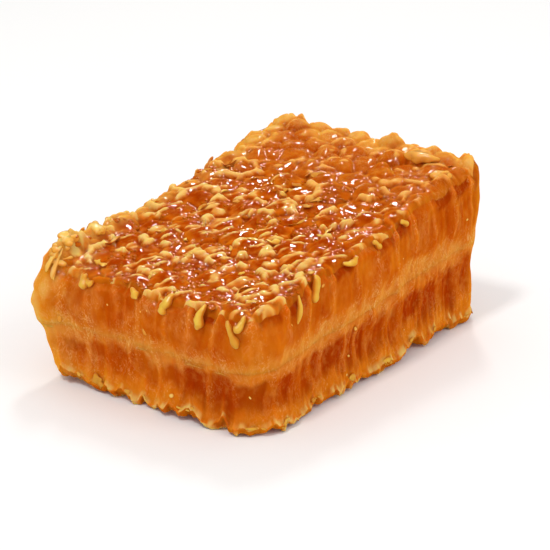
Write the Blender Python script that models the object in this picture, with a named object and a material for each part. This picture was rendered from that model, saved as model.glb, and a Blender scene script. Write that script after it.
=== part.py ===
"""A cut piece of honeycomb, standing on its flat underside.

Two layers of hexagonal, honey-filled cells stand back to back on a thin wax sheet, the midrib.
The comb was drawn out longer at one end, so the piece is a wedge in side view, with the midrib
halfway up all along. It was cut from a larger comb: its four sides pass through cells, which
leaves shallow flutes and notches, its upper side shows open cells with honey doming up between
their rims, and the walls of the lower cells splay into a ragged rim where the piece stands.
The cut on the -X side was slanted, so that the upper layer overhangs the lower one there.

Metres, +Z up. X runs along the short side and Y along the long side, towards the thick end.
The origin is in the middle of the underside.
"""

import math
import random

import bmesh
import bpy
from mathutils import Matrix, Vector

# Driving dimensions
CELL_PITCH = 0.0054  # from the middle of one cell to the next, across the flats
WIDTH = 0.0406  # along X, over the upper layer
LENGTH = 0.0598  # along Y
THIN_END = 0.0194  # height of the piece at its -Y end
THICK_END = 0.0286  # and at its +Y end
UNDERCUT = 0.0028  # how much further in the -X side stands at the bottom
UNDERCUT_TO = 0.62  # share of the height where the undercut ends
MIDDLE = Vector((0.0003, 0.0002, 0.0))  # puts the middle of the overhanging shape over the origin
MIDRIB = 0.0008  # thickness of the wax sheet between the layers
FIT_GAP = 0.0003  # left between pieces that touch

# The cut outline
CORNER_RADII = (0.0035, 0.0035, 0.0030, 0.0055)  # from the +X +Y corner, round by +Z
STEP = 0.00094  # spacing of the points round the outline
FLUTE = 0.00045  # how far the honey sinks between two cut walls
SWAY = 0.00045  # how far the knife strayed from a straight line
SPLAY = 0.0005  # how far the lower rim stands out
RAGGED = 0.0004  # how unevenly that rim ends
SWELL = 0.0013  # how far the upper layer swells out at its -X -Y corner
SWELL_REACH = 0.011  # and how far from that corner the swelling ends

# The open cells
RIM = 0.0010  # width of the wax left standing between two cells
WELL = 0.0013  # depth of an open cell at its walls, on the upper side
UNDER_WELL = 0.0006  # and on the underside, where the piece was pressed flat
DOME = 0.6  # how far the honey rises in the middle of a cell, as a share of its depth
CUP_TAPER = 0.86  # width of a cell at its floor, as a share of that at its rim
EDGE_MARGIN = 0.0012  # an upper cell whose middle is nearer the outline than this is left whole
UNDER_MARGIN = 0.0035  # and on the underside, whose rim stands whole
CAPPED_REACH = 0.0040  # underside cells this near the origin are sealed, a flat place to rest on
SEED = 11

ROW_SPACING = CELL_PITCH * math.sqrt(3) / 2
SLOPE = math.atan((THICK_END - THIN_END) / LENGTH)
UPPER_LATTICE = Vector((0.0011, 0.0012))  # the middle of one upper cell
# Each cell of one layer ends on the meeting point of three cells of the other.
LOWER_LATTICE = UPPER_LATTICE + Vector((CELL_PITCH / math.sqrt(3), 0.0))

HONEY_COMB = ("honey_filled_comb", (0.62, 0.19, 0.025, 1.0), 0.18)
BEESWAX = ("beeswax", (0.78, 0.45, 0.12, 1.0), 0.45)


def clear_scene():
    """Removes whatever the file held."""
    for obj in list(bpy.data.objects):
        bpy.data.objects.remove(obj)


def new_collection(name):
    """A collection under the scene's own."""
    made = bpy.data.collections.new(name)
    bpy.context.scene.collection.children.link(made)
    return made


def new_material(name, colour, roughness):
    """A non-metal finish."""
    material = bpy.data.materials.new(name)
    material.use_nodes = True
    shader = material.node_tree.nodes["Principled BSDF"]
    shader.inputs["Base Color"].default_value = colour
    shader.inputs["Roughness"].default_value = roughness
    shader.inputs["Metallic"].default_value = 0.0
    return material


def new_object(name, bm, collection):
    """Turns a bmesh into a named object with outward faces."""
    bmesh.ops.recalc_face_normals(bm, faces=bm.faces[:])
    mesh = bpy.data.meshes.new(name)
    bm.to_mesh(mesh)
    bm.free()
    obj = bpy.data.objects.new(name, mesh)
    obj.location = MIDDLE
    collection.objects.link(obj)
    return obj


def ground(y):
    """Height of the underside."""
    return 0.0


def top_height(y):
    """Height of the upper side, a plane that rises towards the thick end."""
    return THIN_END + (THICK_END - THIN_END) * (y / LENGTH + 0.5)


def cell_centres(lattice, margin):
    """Middles of a layer's cells, each at least margin inside the piece's rectangle."""
    centres = []
    rows = math.ceil(WIDTH / ROW_SPACING)
    columns = math.ceil(LENGTH / CELL_PITCH)
    for row in range(-rows, rows + 1):
        for column in range(-columns, columns + 1):
            x = lattice.x + row * ROW_SPACING
            y = lattice.y + (column + 0.5 * (row % 2)) * CELL_PITCH
            if min(WIDTH / 2 - abs(x), LENGTH / 2 - abs(y)) > margin:
                centres.append(Vector((x, y)))
    return centres


def depth_in_cell(x, y, lattice):
    """How far a point lies from the nearest cell wall: 0 on a wall, 1 in the middle of a cell."""
    x, y = x - lattice.x, y - lattice.y
    row = round(x / ROW_SPACING)
    nearest = 1.0
    for near_row in (row - 1, row, row + 1):
        stagger = 0.5 * (near_row % 2)
        column = round(y / CELL_PITCH - stagger)
        across = abs(x - near_row * ROW_SPACING)
        along = abs(y - (column + stagger) * CELL_PITCH)
        slanted = across * math.sqrt(3) / 2 + along / 2
        nearest = min(nearest, max(along, slanted) / (CELL_PITCH / 2))
    return 1.0 - nearest


def outline():
    """Points of a rectangle with round corners, evenly spaced, each with its outward direction."""
    points = []
    for quarter, radius in enumerate(CORNER_RADII):
        centre = Vector(
            (
                (WIDTH / 2 - radius) * (1 if quarter in (0, 3) else -1),
                (LENGTH / 2 - radius) * (1 if quarter < 2 else -1),
            )
        )
        arc_steps = round(radius * math.pi / 2 / STEP)
        for i in range(arc_steps + 1):
            angle = math.pi / 2 * (quarter + i / arc_steps)
            out = Vector((math.cos(angle), math.sin(angle)))
            points.append((centre + out * radius, out))
        side = WIDTH if quarter in (0, 2) else LENGTH
        straight = side - radius - CORNER_RADII[(quarter + 1) % 4]
        steps = round(straight / STEP)
        along = Vector((-out.y, out.x))
        for i in range(1, steps):
            points.append((centre + out * radius + along * straight * i / steps, out))
    return points


def sway(x, y, z):
    """The cut's slow wander in and out, as a sum of a few waves."""
    return SWAY * (
        0.5 * math.sin(210 * y + 1.3 + 60 * z)
        + 0.4 * math.sin(330 * x - 0.7 + 90 * z)
        + 0.3 * math.sin(520 * (x + y) + 2.1)
    )


def undercut(x, y, z):
    """Where a point comes to lie when the -X half is squeezed towards the bottom."""
    share = max(0.0, 1 - z / (UNDERCUT_TO * top_height(y)))
    return x * (1 - UNDERCUT / (WIDTH / 2) * share) if x < 0 else x


def corner_swelling(x, y, share):
    """How far a layer that swells stands out near the -X -Y corner, most halfway up."""
    distance = math.hypot(x + WIDTH / 2, y + LENGTH / 2)
    return SWELL * max(0.0, 1 - distance / SWELL_REACH) * 4 * share * (1 - share)


def build_layer(name, low, high, profile, lattice, ragged, swells, collection):
    """Lofts one layer of the piece from the cut outline.

    low and high give the height of its two faces at a y, and profile lists, from the bottom up,
    how far up each section is and how far it stands out. lattice places its cells, ragged is
    how unevenly the lowest section ends, and swells says whether one corner bulges.
    """
    rng = random.Random(SEED)
    ring = outline()
    teeth = [rng.uniform(-ragged, ragged) for _ in ring]
    bm = bmesh.new()
    corner = bm.verts.layers.int.new("corner")

    def place(vert, level):
        share, stand = profile[level]
        point, out = ring[vert[corner]]
        height = low(point.y) + (high(point.y) - low(point.y)) * share
        move = stand + sway(point.x, point.y, height)
        move -= FLUTE * depth_in_cell(point.x, point.y, lattice)
        if level == 0:
            move += teeth[vert[corner]]
        if swells:
            move += corner_swelling(point.x, point.y, share)
        x, y = point + out * move
        z = low(y) + (high(y) - low(y)) * share
        vert.co = (undercut(x, y, z), y, z)

    for i in range(len(ring)):
        bm.verts.new()[corner] = i
    face = bm.faces.new(bm.verts)
    for vert in face.verts:
        place(vert, 0)
    for level in range(1, len(profile)):
        section = face
        made = bmesh.ops.extrude_face_region(bm, geom=[section])["geom"]
        face = next(part for part in made if isinstance(part, bmesh.types.BMFace))
        for vert in face.verts:
            place(vert, level)
        if level > 1:
            bm.faces.remove(section)  # the lowest section stays as the underside
    return new_object(name, bm, collection)


def build_cups(name, centres, height, facing, depth, collection):
    """A cutter with the shapes of open cells: hexagonal cups with honey doming in each.

    height gives the face they are cut from at a y, facing is the matrix that turns a cup that
    opens upwards to that face, and depth is that of a cell at its walls.
    """
    rng = random.Random(SEED)
    bm = bmesh.new()
    flats_to_y = Matrix.Rotation(math.radians(30), 4, "Z")
    for centre in centres:
        deep = depth * rng.uniform(0.7, 1.25)
        radius = (CELL_PITCH - RIM * rng.uniform(0.8, 1.3)) / math.sqrt(3)
        cup = bmesh.ops.create_cone(
            bm,
            cap_ends=True,
            cap_tris=True,
            segments=6,
            radius1=radius * CUP_TAPER,
            radius2=radius,
            depth=2 * deep,
        )["verts"]
        floor_middle = min(cup, key=lambda v: v.co.z + math.hypot(v.co.x, v.co.y))
        floor_middle.co.z += deep * DOME * rng.uniform(0.7, 1.2)
        place = Matrix.Translation((centre.x, centre.y, height(centre.y)))
        bmesh.ops.transform(bm, matrix=place @ facing @ flats_to_y, verts=cup)
    cups = new_object(name, bm, collection)
    cups.hide_render = True
    cups.display_type = "WIRE"
    return cups


def open_cells(layer, cups):
    """Cuts the cups out of a layer."""
    cut = layer.modifiers.new(cups.name, "BOOLEAN")
    cut.operation = "DIFFERENCE"
    cut.object = cups


def build_lower_cells(top, comb, cutters):
    """The layer that the piece stands on, with its cells pressed nearly flat."""
    layer = build_layer(
        "lower_cells",
        low=ground,
        high=top,
        profile=[(0.0, SPLAY), (0.09, 0.3 * SPLAY), (0.4, -0.0006), (1.0, -0.0003)],
        lattice=LOWER_LATTICE,
        ragged=RAGGED,
        swells=False,
        collection=comb,
    )
    centres = [c for c in cell_centres(LOWER_LATTICE, UNDER_MARGIN) if c.length > CAPPED_REACH]
    upside_down = Matrix.Rotation(math.pi, 4, "X")
    open_cells(
        layer, build_cups("underside_cups", centres, ground, upside_down, UNDER_WELL, cutters)
    )
    return layer


def build_upper_cells(bottom, comb, cutters):
    """The layer whose cells stand open on the upper side."""
    layer = build_layer(
        "upper_cells",
        low=bottom,
        high=top_height,
        profile=[(0.0, 0.0), (0.45, 0.0006), (0.88, 0.0002), (1.0, -0.0007)],
        lattice=UPPER_LATTICE,
        ragged=0.0,
        swells=True,
        collection=comb,
    )
    sloped = Matrix.Rotation(SLOPE, 4, "X")
    centres = cell_centres(UPPER_LATTICE, EDGE_MARGIN)
    open_cells(layer, build_cups("top_cups", centres, top_height, sloped, WELL, cutters))
    return layer


def build():
    """Makes the two layers of cells and the midrib between them."""
    clear_scene()
    comb = new_collection("honeycomb_piece")
    cutters = new_collection("cutters")
    honey = new_material(*HONEY_COMB)
    wax = new_material(*BEESWAX)

    def halfway(y, offset):
        return top_height(y) / 2 + offset

    half = MIDRIB / 2
    lower = build_lower_cells(lambda y: halfway(y, -half - FIT_GAP), comb, cutters)
    lower.data.materials.append(honey)
    midrib = build_layer(
        "midrib",
        low=lambda y: halfway(y, -half),
        high=lambda y: halfway(y, half),
        profile=[(0.0, 0.0), (1.0, 0.0)],
        lattice=UPPER_LATTICE,
        ragged=0.0,
        swells=False,
        collection=comb,
    )
    midrib.data.materials.append(wax)
    upper = build_upper_cells(lambda y: halfway(y, half + FIT_GAP), comb, cutters)
    upper.data.materials.append(honey)


build()
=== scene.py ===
"""Looks of a cut piece of honeycomb, standing on its flat underside.

Two layers of hexagonal, honey-filled cells stand back to back on a thin wax sheet. The upper
side shows open cells: honey domes up between torn wax rims, and pale wisps of wax lie over it.
The four cut sides show the cells as soft upright columns, and the lower rim ends in wax teeth.

Metres, +Z up. X runs along the short side and Y along the long side, towards the thick end.
Colours are sRGB hex values. Every surface is worked out with numpy as whole arrays.
"""
from __future__ import annotations

import itertools
import logging
import math
from dataclasses import dataclass, field, replace
from enum import Enum
from typing import Any, ClassVar

import bpy
import numpy as np
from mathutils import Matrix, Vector

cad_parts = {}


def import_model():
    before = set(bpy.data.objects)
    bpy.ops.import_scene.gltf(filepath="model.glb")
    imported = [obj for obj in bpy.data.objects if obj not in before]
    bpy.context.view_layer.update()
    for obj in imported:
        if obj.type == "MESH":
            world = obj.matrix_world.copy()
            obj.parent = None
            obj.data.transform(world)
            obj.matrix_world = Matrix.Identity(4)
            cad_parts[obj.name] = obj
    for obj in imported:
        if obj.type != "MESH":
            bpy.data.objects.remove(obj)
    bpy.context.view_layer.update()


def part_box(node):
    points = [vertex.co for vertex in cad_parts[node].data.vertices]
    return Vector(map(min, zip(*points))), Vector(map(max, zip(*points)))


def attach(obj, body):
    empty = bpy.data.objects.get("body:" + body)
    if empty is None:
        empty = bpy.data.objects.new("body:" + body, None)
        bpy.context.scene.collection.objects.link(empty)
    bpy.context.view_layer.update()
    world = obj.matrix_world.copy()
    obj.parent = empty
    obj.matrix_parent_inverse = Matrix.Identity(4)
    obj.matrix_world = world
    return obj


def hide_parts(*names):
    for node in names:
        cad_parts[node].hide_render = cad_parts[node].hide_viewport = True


LOG = logging.getLogger("honeycomb")
MM = 0.001
BODY = "root"
UP = np.array([0.0, 0.0, 1.0])
ASLANT = np.array([0.31, 0.95, 0.02])  # any direction that no surface faces
ROOT3 = math.sqrt(3.0)
CELL_PITCH = 5.4 * MM  # from the middle of one cell to the next, across the flats
UPPER_CELL = (1.1 * MM, 1.2 * MM)  # the middle of one upper cell
FIRST_NUMBER = 900  # added to rows and columns, so that none is below 0

Array = np.ndarray
Socket = bpy.types.NodeSocket


class Slot(Enum):
    """The record's material slots."""

    COMB = "honey_filled_comb"
    WAX = "beeswax"


class Facing(Enum):
    """Which way the open ends of a layer's cells point."""

    UP = 1.0
    DOWN = -1.0


# Small helpers for arrays


def smoothstep(low: float | Array, high: float | Array, value: Array) -> Array:
    """Rise smoothly from 0 at low to 1 at high.

    Args:
        low: value where the rise starts.
        high: value where it ends.
        value: the numbers to look at.

    Returns:
        3t² - 2t³, with t the share of the way from low to high, held between 0 and 1.
    """
    share = np.clip((value - low) / (high - low), 0.0, 1.0)
    return share * share * (3.0 - 2.0 * share)


def mix(first: Array, second: Array, share: Array) -> Array:
    """Go from first to second by share."""
    return first + (second - first) * share


def flat_at(x: Array, y: Array) -> Array:
    """Put places at height 0, for noise that doesn't change with height."""
    return np.stack([x, y, np.zeros_like(x)], axis=-1)


def chance(*whole: Array, seed: int) -> Array:
    """Give each whole-number place a number between 0 and 1 that stays the same every run.

    Args:
        whole: arrays of whole numbers, one for each direction.
        seed: another seed gives other numbers.

    Returns:
        A fixed, evenly spread number for each place, from mixing the bits of its coordinates.
    """
    bits = np.full(np.broadcast(*whole).shape, seed * 974634777 & 0xFFFFFFFF, dtype=np.uint64)
    for axis, factor in zip(whole, (374761393, 668265263, 2246822519)):
        bits = bits + np.asarray(axis).astype(np.int64).astype(np.uint64) * np.uint64(factor)
    bits = bits & np.uint64(0xFFFFFFFF)
    bits = (bits ^ (bits >> np.uint64(13))) * np.uint64(1274126177) & np.uint64(0xFFFFFFFF)
    bits = bits ^ (bits >> np.uint64(16))
    return (bits & np.uint64(0xFFFFFF)).astype(float) / float(0xFFFFFF)


def ripple(points: Array, size: Any, seed: int, layers: int = 1) -> Array:
    """Smooth noise between about -1 and 1.

    Args:
        points: places in metres, with x, y and z on the last axis.
        size: distance between neighbouring highs and lows, one number or one for each axis.
        seed: another seed gives another pattern.
        layers: each further layer is half as wide and half as strong.

    Returns:
        Numbers fixed at the corners of a lattice of cubes, blended smoothly in between.
    """
    total = np.zeros(points.shape[:-1])
    strength, reach = 1.0, 0.0
    for layer in range(layers):
        place = points / (np.asarray(size) / 2.0**layer) + 31.7 * (layer + 1)
        corner = np.floor(place)
        part = place - corner
        part = part * part * (3.0 - 2.0 * part)
        weights = (1.0 - part, part)
        for sides in itertools.product((0, 1), repeat=3):
            weight = strength
            for axis, side in enumerate(sides):
                weight = weight * weights[side][..., axis]
            here = chance(*(corner[..., axis] + side for axis, side in enumerate(sides)),
                          seed=seed + 101 * layer)
            total += weight * (2.0 * here - 1.0)
        reach += strength
        strength *= 0.5
    return total / reach * 1.6


def smoothed(grid: Array, reach: int) -> Array:
    """Average each place of a grid over the square of places round it.

    Args:
        grid: numbers by row and column.
        reach: how many places the square goes on each side.

    Returns:
        The averages; past its border, the grid goes on with its last numbers.
    """
    window = 2 * reach + 1
    for axis in (0, 1):
        room = [(reach, reach) if one == axis else (0, 0) for one in (0, 1)]
        wide = np.pad(grid, room, mode="edge")
        grid = np.lib.stride_tricks.sliding_window_view(wide, window, axis=axis).mean(axis=-1)
    return grid


def unit(vectors: Array) -> Array:
    """Scale vectors to length 1."""
    length = np.linalg.norm(vectors, axis=-1, keepdims=True)
    return vectors / np.maximum(length, 1e-12)


def eased(knots: tuple[tuple[float, float], ...], value: Array) -> Array:
    """Pass through the knots with a level tangent at each of them.

    Args:
        knots: pairs of place and height, in order.
        value: where the curve is read.

    Returns:
        The height of the curve, a smoothstep between each two knots.
    """
    places = np.array([knot[0] for knot in knots])
    heights = np.array([knot[1] for knot in knots])
    index = np.clip(np.searchsorted(places, value, side="right") - 1, 0, len(knots) - 2)
    rise = smoothstep(places[index], places[index + 1], value)
    return mix(heights[index], heights[index + 1], rise)


# Putting arrays into meshes


def grid_quads(rows: int, columns: int, closed: bool) -> Array:
    """List the quads of a grid of points.

    Args:
        rows: number of rows of points.
        columns: number of points in a row.
        closed: whether each row's last point joins its first.

    Returns:
        Four point numbers a quad, in the order (row, column), next column, next row.
    """
    row = np.arange(rows - 1)[:, None]
    column = np.arange(columns if closed else columns - 1)[None, :]
    after = (column + 1) % columns
    first = row * columns + column
    second = row * columns + after
    quads = np.stack([first, second, second + columns, first + columns], axis=-1)
    return quads.reshape(-1, 4)


@dataclass
class Surface:
    """Points, faces and per-point values of one piece, before it is a Blender object."""

    points: Array
    faces: list[Array]
    values: dict[str, Array] = field(default_factory=dict)

    def to_object(self, name: str, material: bpy.types.Material) -> bpy.types.Object:
        """Make the Blender object.

        Args:
            name: the object's name.
            material: the finish of all of it.

        Returns:
            The new object, shaded smooth, with the values as float attributes.
        """
        mesh = bpy.data.meshes.new(name)
        flat = np.concatenate([block.reshape(-1) for block in self.faces]).astype(np.int32)
        sizes = np.concatenate([np.full(len(block), block.shape[1]) for block in self.faces])
        starts = np.concatenate([[0], np.cumsum(sizes)[:-1]]).astype(np.int32)
        mesh.vertices.add(len(self.points))
        mesh.vertices.foreach_set("co", self.points.astype(np.float32).reshape(-1))
        mesh.loops.add(len(flat))
        mesh.loops.foreach_set("vertex_index", flat)
        mesh.polygons.add(len(sizes))
        mesh.polygons.foreach_set("loop_start", starts)
        mesh.update(calc_edges=True)
        mesh.validate()
        mesh.shade_smooth()
        for key, numbers in self.values.items():
            layer = mesh.attributes.new(key, "FLOAT", "POINT")
            layer.data.foreach_set("value", numbers.astype(np.float32).reshape(-1))
        mesh.materials.append(material)
        made = bpy.data.objects.new(name, mesh)
        bpy.context.scene.collection.objects.link(made)
        return made


def settle(
    surface: Surface,
    name: str,
    material: bpy.types.Material,
    slot: Slot,
    stands_for: str | None = None,
) -> bpy.types.Object:
    """Turn a surface into a piece that rides with the comb.

    Args:
        surface: its points, faces and values.
        name: the piece's name.
        material: its finish.
        slot: the record's material slot that it belongs to; not used.
        stands_for: the solid that it replaces, if any.

    Returns:
        The finished piece.
    """
    piece = surface.to_object(name, material)
    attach(piece, BODY)
    if stands_for:
        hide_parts(stands_for)
    LOG.info("%s: %d points", name, len(surface.points))
    return piece


def closed_shapes(
    points: Array,
    rise: Array,
    sides: int,
    extra: dict[str, Array] | None = None,
) -> Surface:
    """Close many shapes at once, each made of rings of points with its two tips after them.

    Args:
        points: places, as (number, rings × sides + 2, 3).
        rise: one number for each point.
        sides: points in a ring.
        extra: further values, one number for each shape.

    Returns:
        One surface with all of them, and the value "rise".
    """
    number, each = points.shape[:2]
    around = np.arange(sides)
    after = np.roll(around, -1)
    last = each - 2 - sides
    caps = np.concatenate([
        np.stack([after, around, np.full(sides, each - 2)], axis=-1),
        np.stack([last + around, last + after, np.full(sides, each - 1)], axis=-1),
    ])
    quads = grid_quads((each - 2) // sides, sides, closed=True)
    start = (np.arange(number) * each)[:, None, None]
    faces = [(block[None] + start).reshape(-1, block.shape[1]) for block in (quads, caps)]
    values = {key: np.repeat(one, each) for key, one in (extra or {}).items()}
    values["rise"] = rise.reshape(-1)
    return Surface(points.reshape(-1, 3), faces, values)


def tubes(
    paths: Array,
    outward: Array,
    widths: Array,
    heights: Array,
    sides: int,
    rough: float,
    seed: int,
    tone: Array,
) -> Surface:
    """Carry an oval section along many paths at once and close both ends of each.

    A point is the path's place, plus cos(angle) times the half width to the side, plus
    sin(angle) times the half height outwards. Noise then pushes it in or out along its radius.

    Args:
        paths: places, as (number, steps, 3).
        outward: the direction that the section's height points to, same shape.
        widths: half widths, as (number, steps).
        heights: half heights, same shape.
        sides: points round a section.
        rough: how far noise moves a point, as a share of its radius.
        seed: picks the noise.
        tone: the value "tone", one number for each path.

    Returns:
        One surface with all of them, and the value "rise", 0 below and 1 on the ridge.
    """
    number, steps = widths.shape
    along = unit(np.gradient(paths, axis=1))
    side = unit(np.cross(along, outward))
    lift = unit(np.cross(side, along))
    angle = np.linspace(0.0, 2.0 * math.pi, sides, endpoint=False)
    across = np.cos(angle)[None, None, :, None] * widths[..., None, None]
    above = np.sin(angle)[None, None, :, None] * heights[..., None, None]
    shift = across * side[:, :, None, :] + above * lift[:, :, None, :]
    ring = paths[:, :, None, :] + shift
    ring = ring + shift * (rough * ripple(ring, 1.1 * MM, seed, 2))[..., None]
    ends = np.stack([paths[:, 0] - along[:, 0] * 0.3 * widths[:, :1],
                     paths[:, -1] + along[:, -1] * 0.3 * widths[:, -1:]], axis=1)
    points = np.concatenate([ring.reshape(number, -1, 3), ends], axis=1)
    rise = np.broadcast_to(0.5 + 0.5 * np.sin(angle), (number, steps, sides)).reshape(number, -1)
    rise = np.concatenate([rise, np.full((number, 2), 0.5)], axis=1)
    return closed_shapes(points, rise, sides, {"tone": tone})


def blobs(
    middles: Array,
    outward: Array,
    radii: Array,
    turns: Array,
    fineness: tuple[int, int],
    rough: float,
    seed: int,
    tone: Array | None = None,
) -> Surface:
    """Make many closed egg shapes at once.

    A point is the middle, plus two directions along the ground surface times cos(latitude),
    plus the way out times sin(latitude), each times its radius. Noise pushes it in or out.

    Args:
        middles: places, as (number, 3).
        outward: the way out at each, same shape, or one for all.
        radii: two radii along the surface and one outwards, as (number, 3).
        turns: how far each is turned round its way out, in radians.
        fineness: rings of points between the poles, and points in a ring.
        rough: how far noise moves a point, as a share of its radius.
        seed: picks the noise.
        tone: the value "tone", one number for each blob.

    Returns:
        One surface with all of them, and the value "rise", 0 below and 1 on top.
    """
    rings, sides = fineness
    outward = np.broadcast_to(outward, middles.shape)
    aside = unit(np.cross(outward, ASLANT))
    ahead = np.cross(outward, aside)
    cos, sin = np.cos(turns)[:, None], np.sin(turns)[:, None]
    ways = (aside * cos + ahead * sin, ahead * cos - aside * sin, outward)
    latitude = ((np.arange(1, rings + 1) / (rings + 1) - 0.5) * math.pi)[:, None]
    angle = np.linspace(0.0, 2.0 * math.pi, sides, endpoint=False)[None, :]
    sphere = np.stack(np.broadcast_arrays(
        np.cos(latitude) * np.cos(angle), np.cos(latitude) * np.sin(angle), np.sin(latitude)
    ), axis=-1).reshape(-1, 3)
    sphere = np.concatenate([sphere, -UP[None], UP[None]])
    shift = sum(
        sphere[None, :, axis, None] * (way * radii[:, axis, None])[:, None, :]
        for axis, way in enumerate(ways)
    )
    points = middles[:, None, :] + shift
    points = points + shift * (rough * ripple(points, 1.3 * MM, seed, 2))[..., None]
    rise = np.tile(0.5 + 0.5 * sphere[:, 2], len(middles))
    return closed_shapes(points, rise, sides, None if tone is None else {"tone": tone})


def joined(first: Surface, second: Surface) -> Surface:
    """Put two surfaces with the same values into one.

    Args:
        first: its points come first.
        second: and these after them.

    Returns:
        The new surface.
    """
    start = len(first.points)
    values = {key: np.concatenate([first.values[key], second.values[key]]) for key in first.values}
    return Surface(np.concatenate([first.points, second.points]),
                   first.faces + [block + start for block in second.faces], values)


# The comb's shared shape


@dataclass(frozen=True)
class Spots:
    """Where places lie in the lattice of cells."""

    row: Array
    column: Array
    reach: Array  # 0 in the middle of a cell, 1 on its wall
    radius: Array  # distance from the middle of the cell, as a share of half the pitch

    def own(self, seed: int) -> Array:
        """Give each cell a number of its own between 0 and 1."""
        return chance(self.row + FIRST_NUMBER, self.column + FIRST_NUMBER, seed=seed)


@dataclass(frozen=True)
class Lattice:
    """Hexagonal cells in rows: pitch apart along Y, and pitch × √3 / 2 apart along X."""

    start_x: float
    start_y: float
    pitch: float = CELL_PITCH
    drift: float = 0.35 * MM  # how far the bees' rows wander from straight lines
    drift_size: float = 11.0 * MM

    @property
    def row_spacing(self) -> float:
        """Distance between two rows, along X."""
        return self.pitch * ROOT3 / 2.0

    def locate(self, x: Array, y: Array) -> Spots:
        """Find the cell that each place is in.

        Args:
            x: places in metres.
            y: places in metres.

        Returns:
            The cells' rows and columns, and how near its wall each place is. The nearest of the
            middles in the two rows beside a place is its cell's.
        """
        flat = flat_at(x, y)
        x = x + self.drift * ripple(flat, self.drift_size, 3)
        y = y + self.drift * ripple(flat, self.drift_size, 4)
        spacing = self.row_spacing
        lower = np.floor((x - self.start_x) / spacing)
        found: list[tuple[Array, ...]] = []
        for row in (lower, lower + 1):
            stagger = 0.5 * np.mod(row, 2.0)
            column = np.round((y - self.start_y) / self.pitch - stagger)
            off_x = x - self.start_x - row * spacing
            off_y = y - self.start_y - (column + stagger) * self.pitch
            found.append((row, column, off_x, off_y, np.hypot(off_x, off_y)))
        nearer = found[0][4] <= found[1][4]
        row, column, off_x, off_y, radius = (
            np.where(nearer, first, second) for first, second in zip(*found)
        )
        across, along = np.abs(off_x), np.abs(off_y)
        half = self.pitch / 2.0
        reach = np.maximum(along, across * ROOT3 / 2.0 + along / 2.0) / half
        return Spots(row, column, reach, radius / half)

    def middles(self, half_width: float, half_length: float) -> Array:
        """List the middles of the cells inside a rectangle.

        Args:
            half_width: half its size along X.
            half_length: half its size along Y.

        Returns:
            The middles, as (number, 2).
        """
        spacing = self.row_spacing
        rows = math.ceil(half_width / spacing) + 1
        columns = math.ceil(half_length / self.pitch) + 1
        row, column = np.meshgrid(np.arange(-rows, rows + 1), np.arange(-columns, columns + 1),
                                  indexing="ij")
        x = self.start_x + row * spacing
        y = self.start_y + (column + 0.5 * np.mod(row, 2)) * self.pitch
        inside = (np.abs(x) < half_width) & (np.abs(y) < half_length)
        return np.stack([x[inside], y[inside]], axis=-1)


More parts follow.
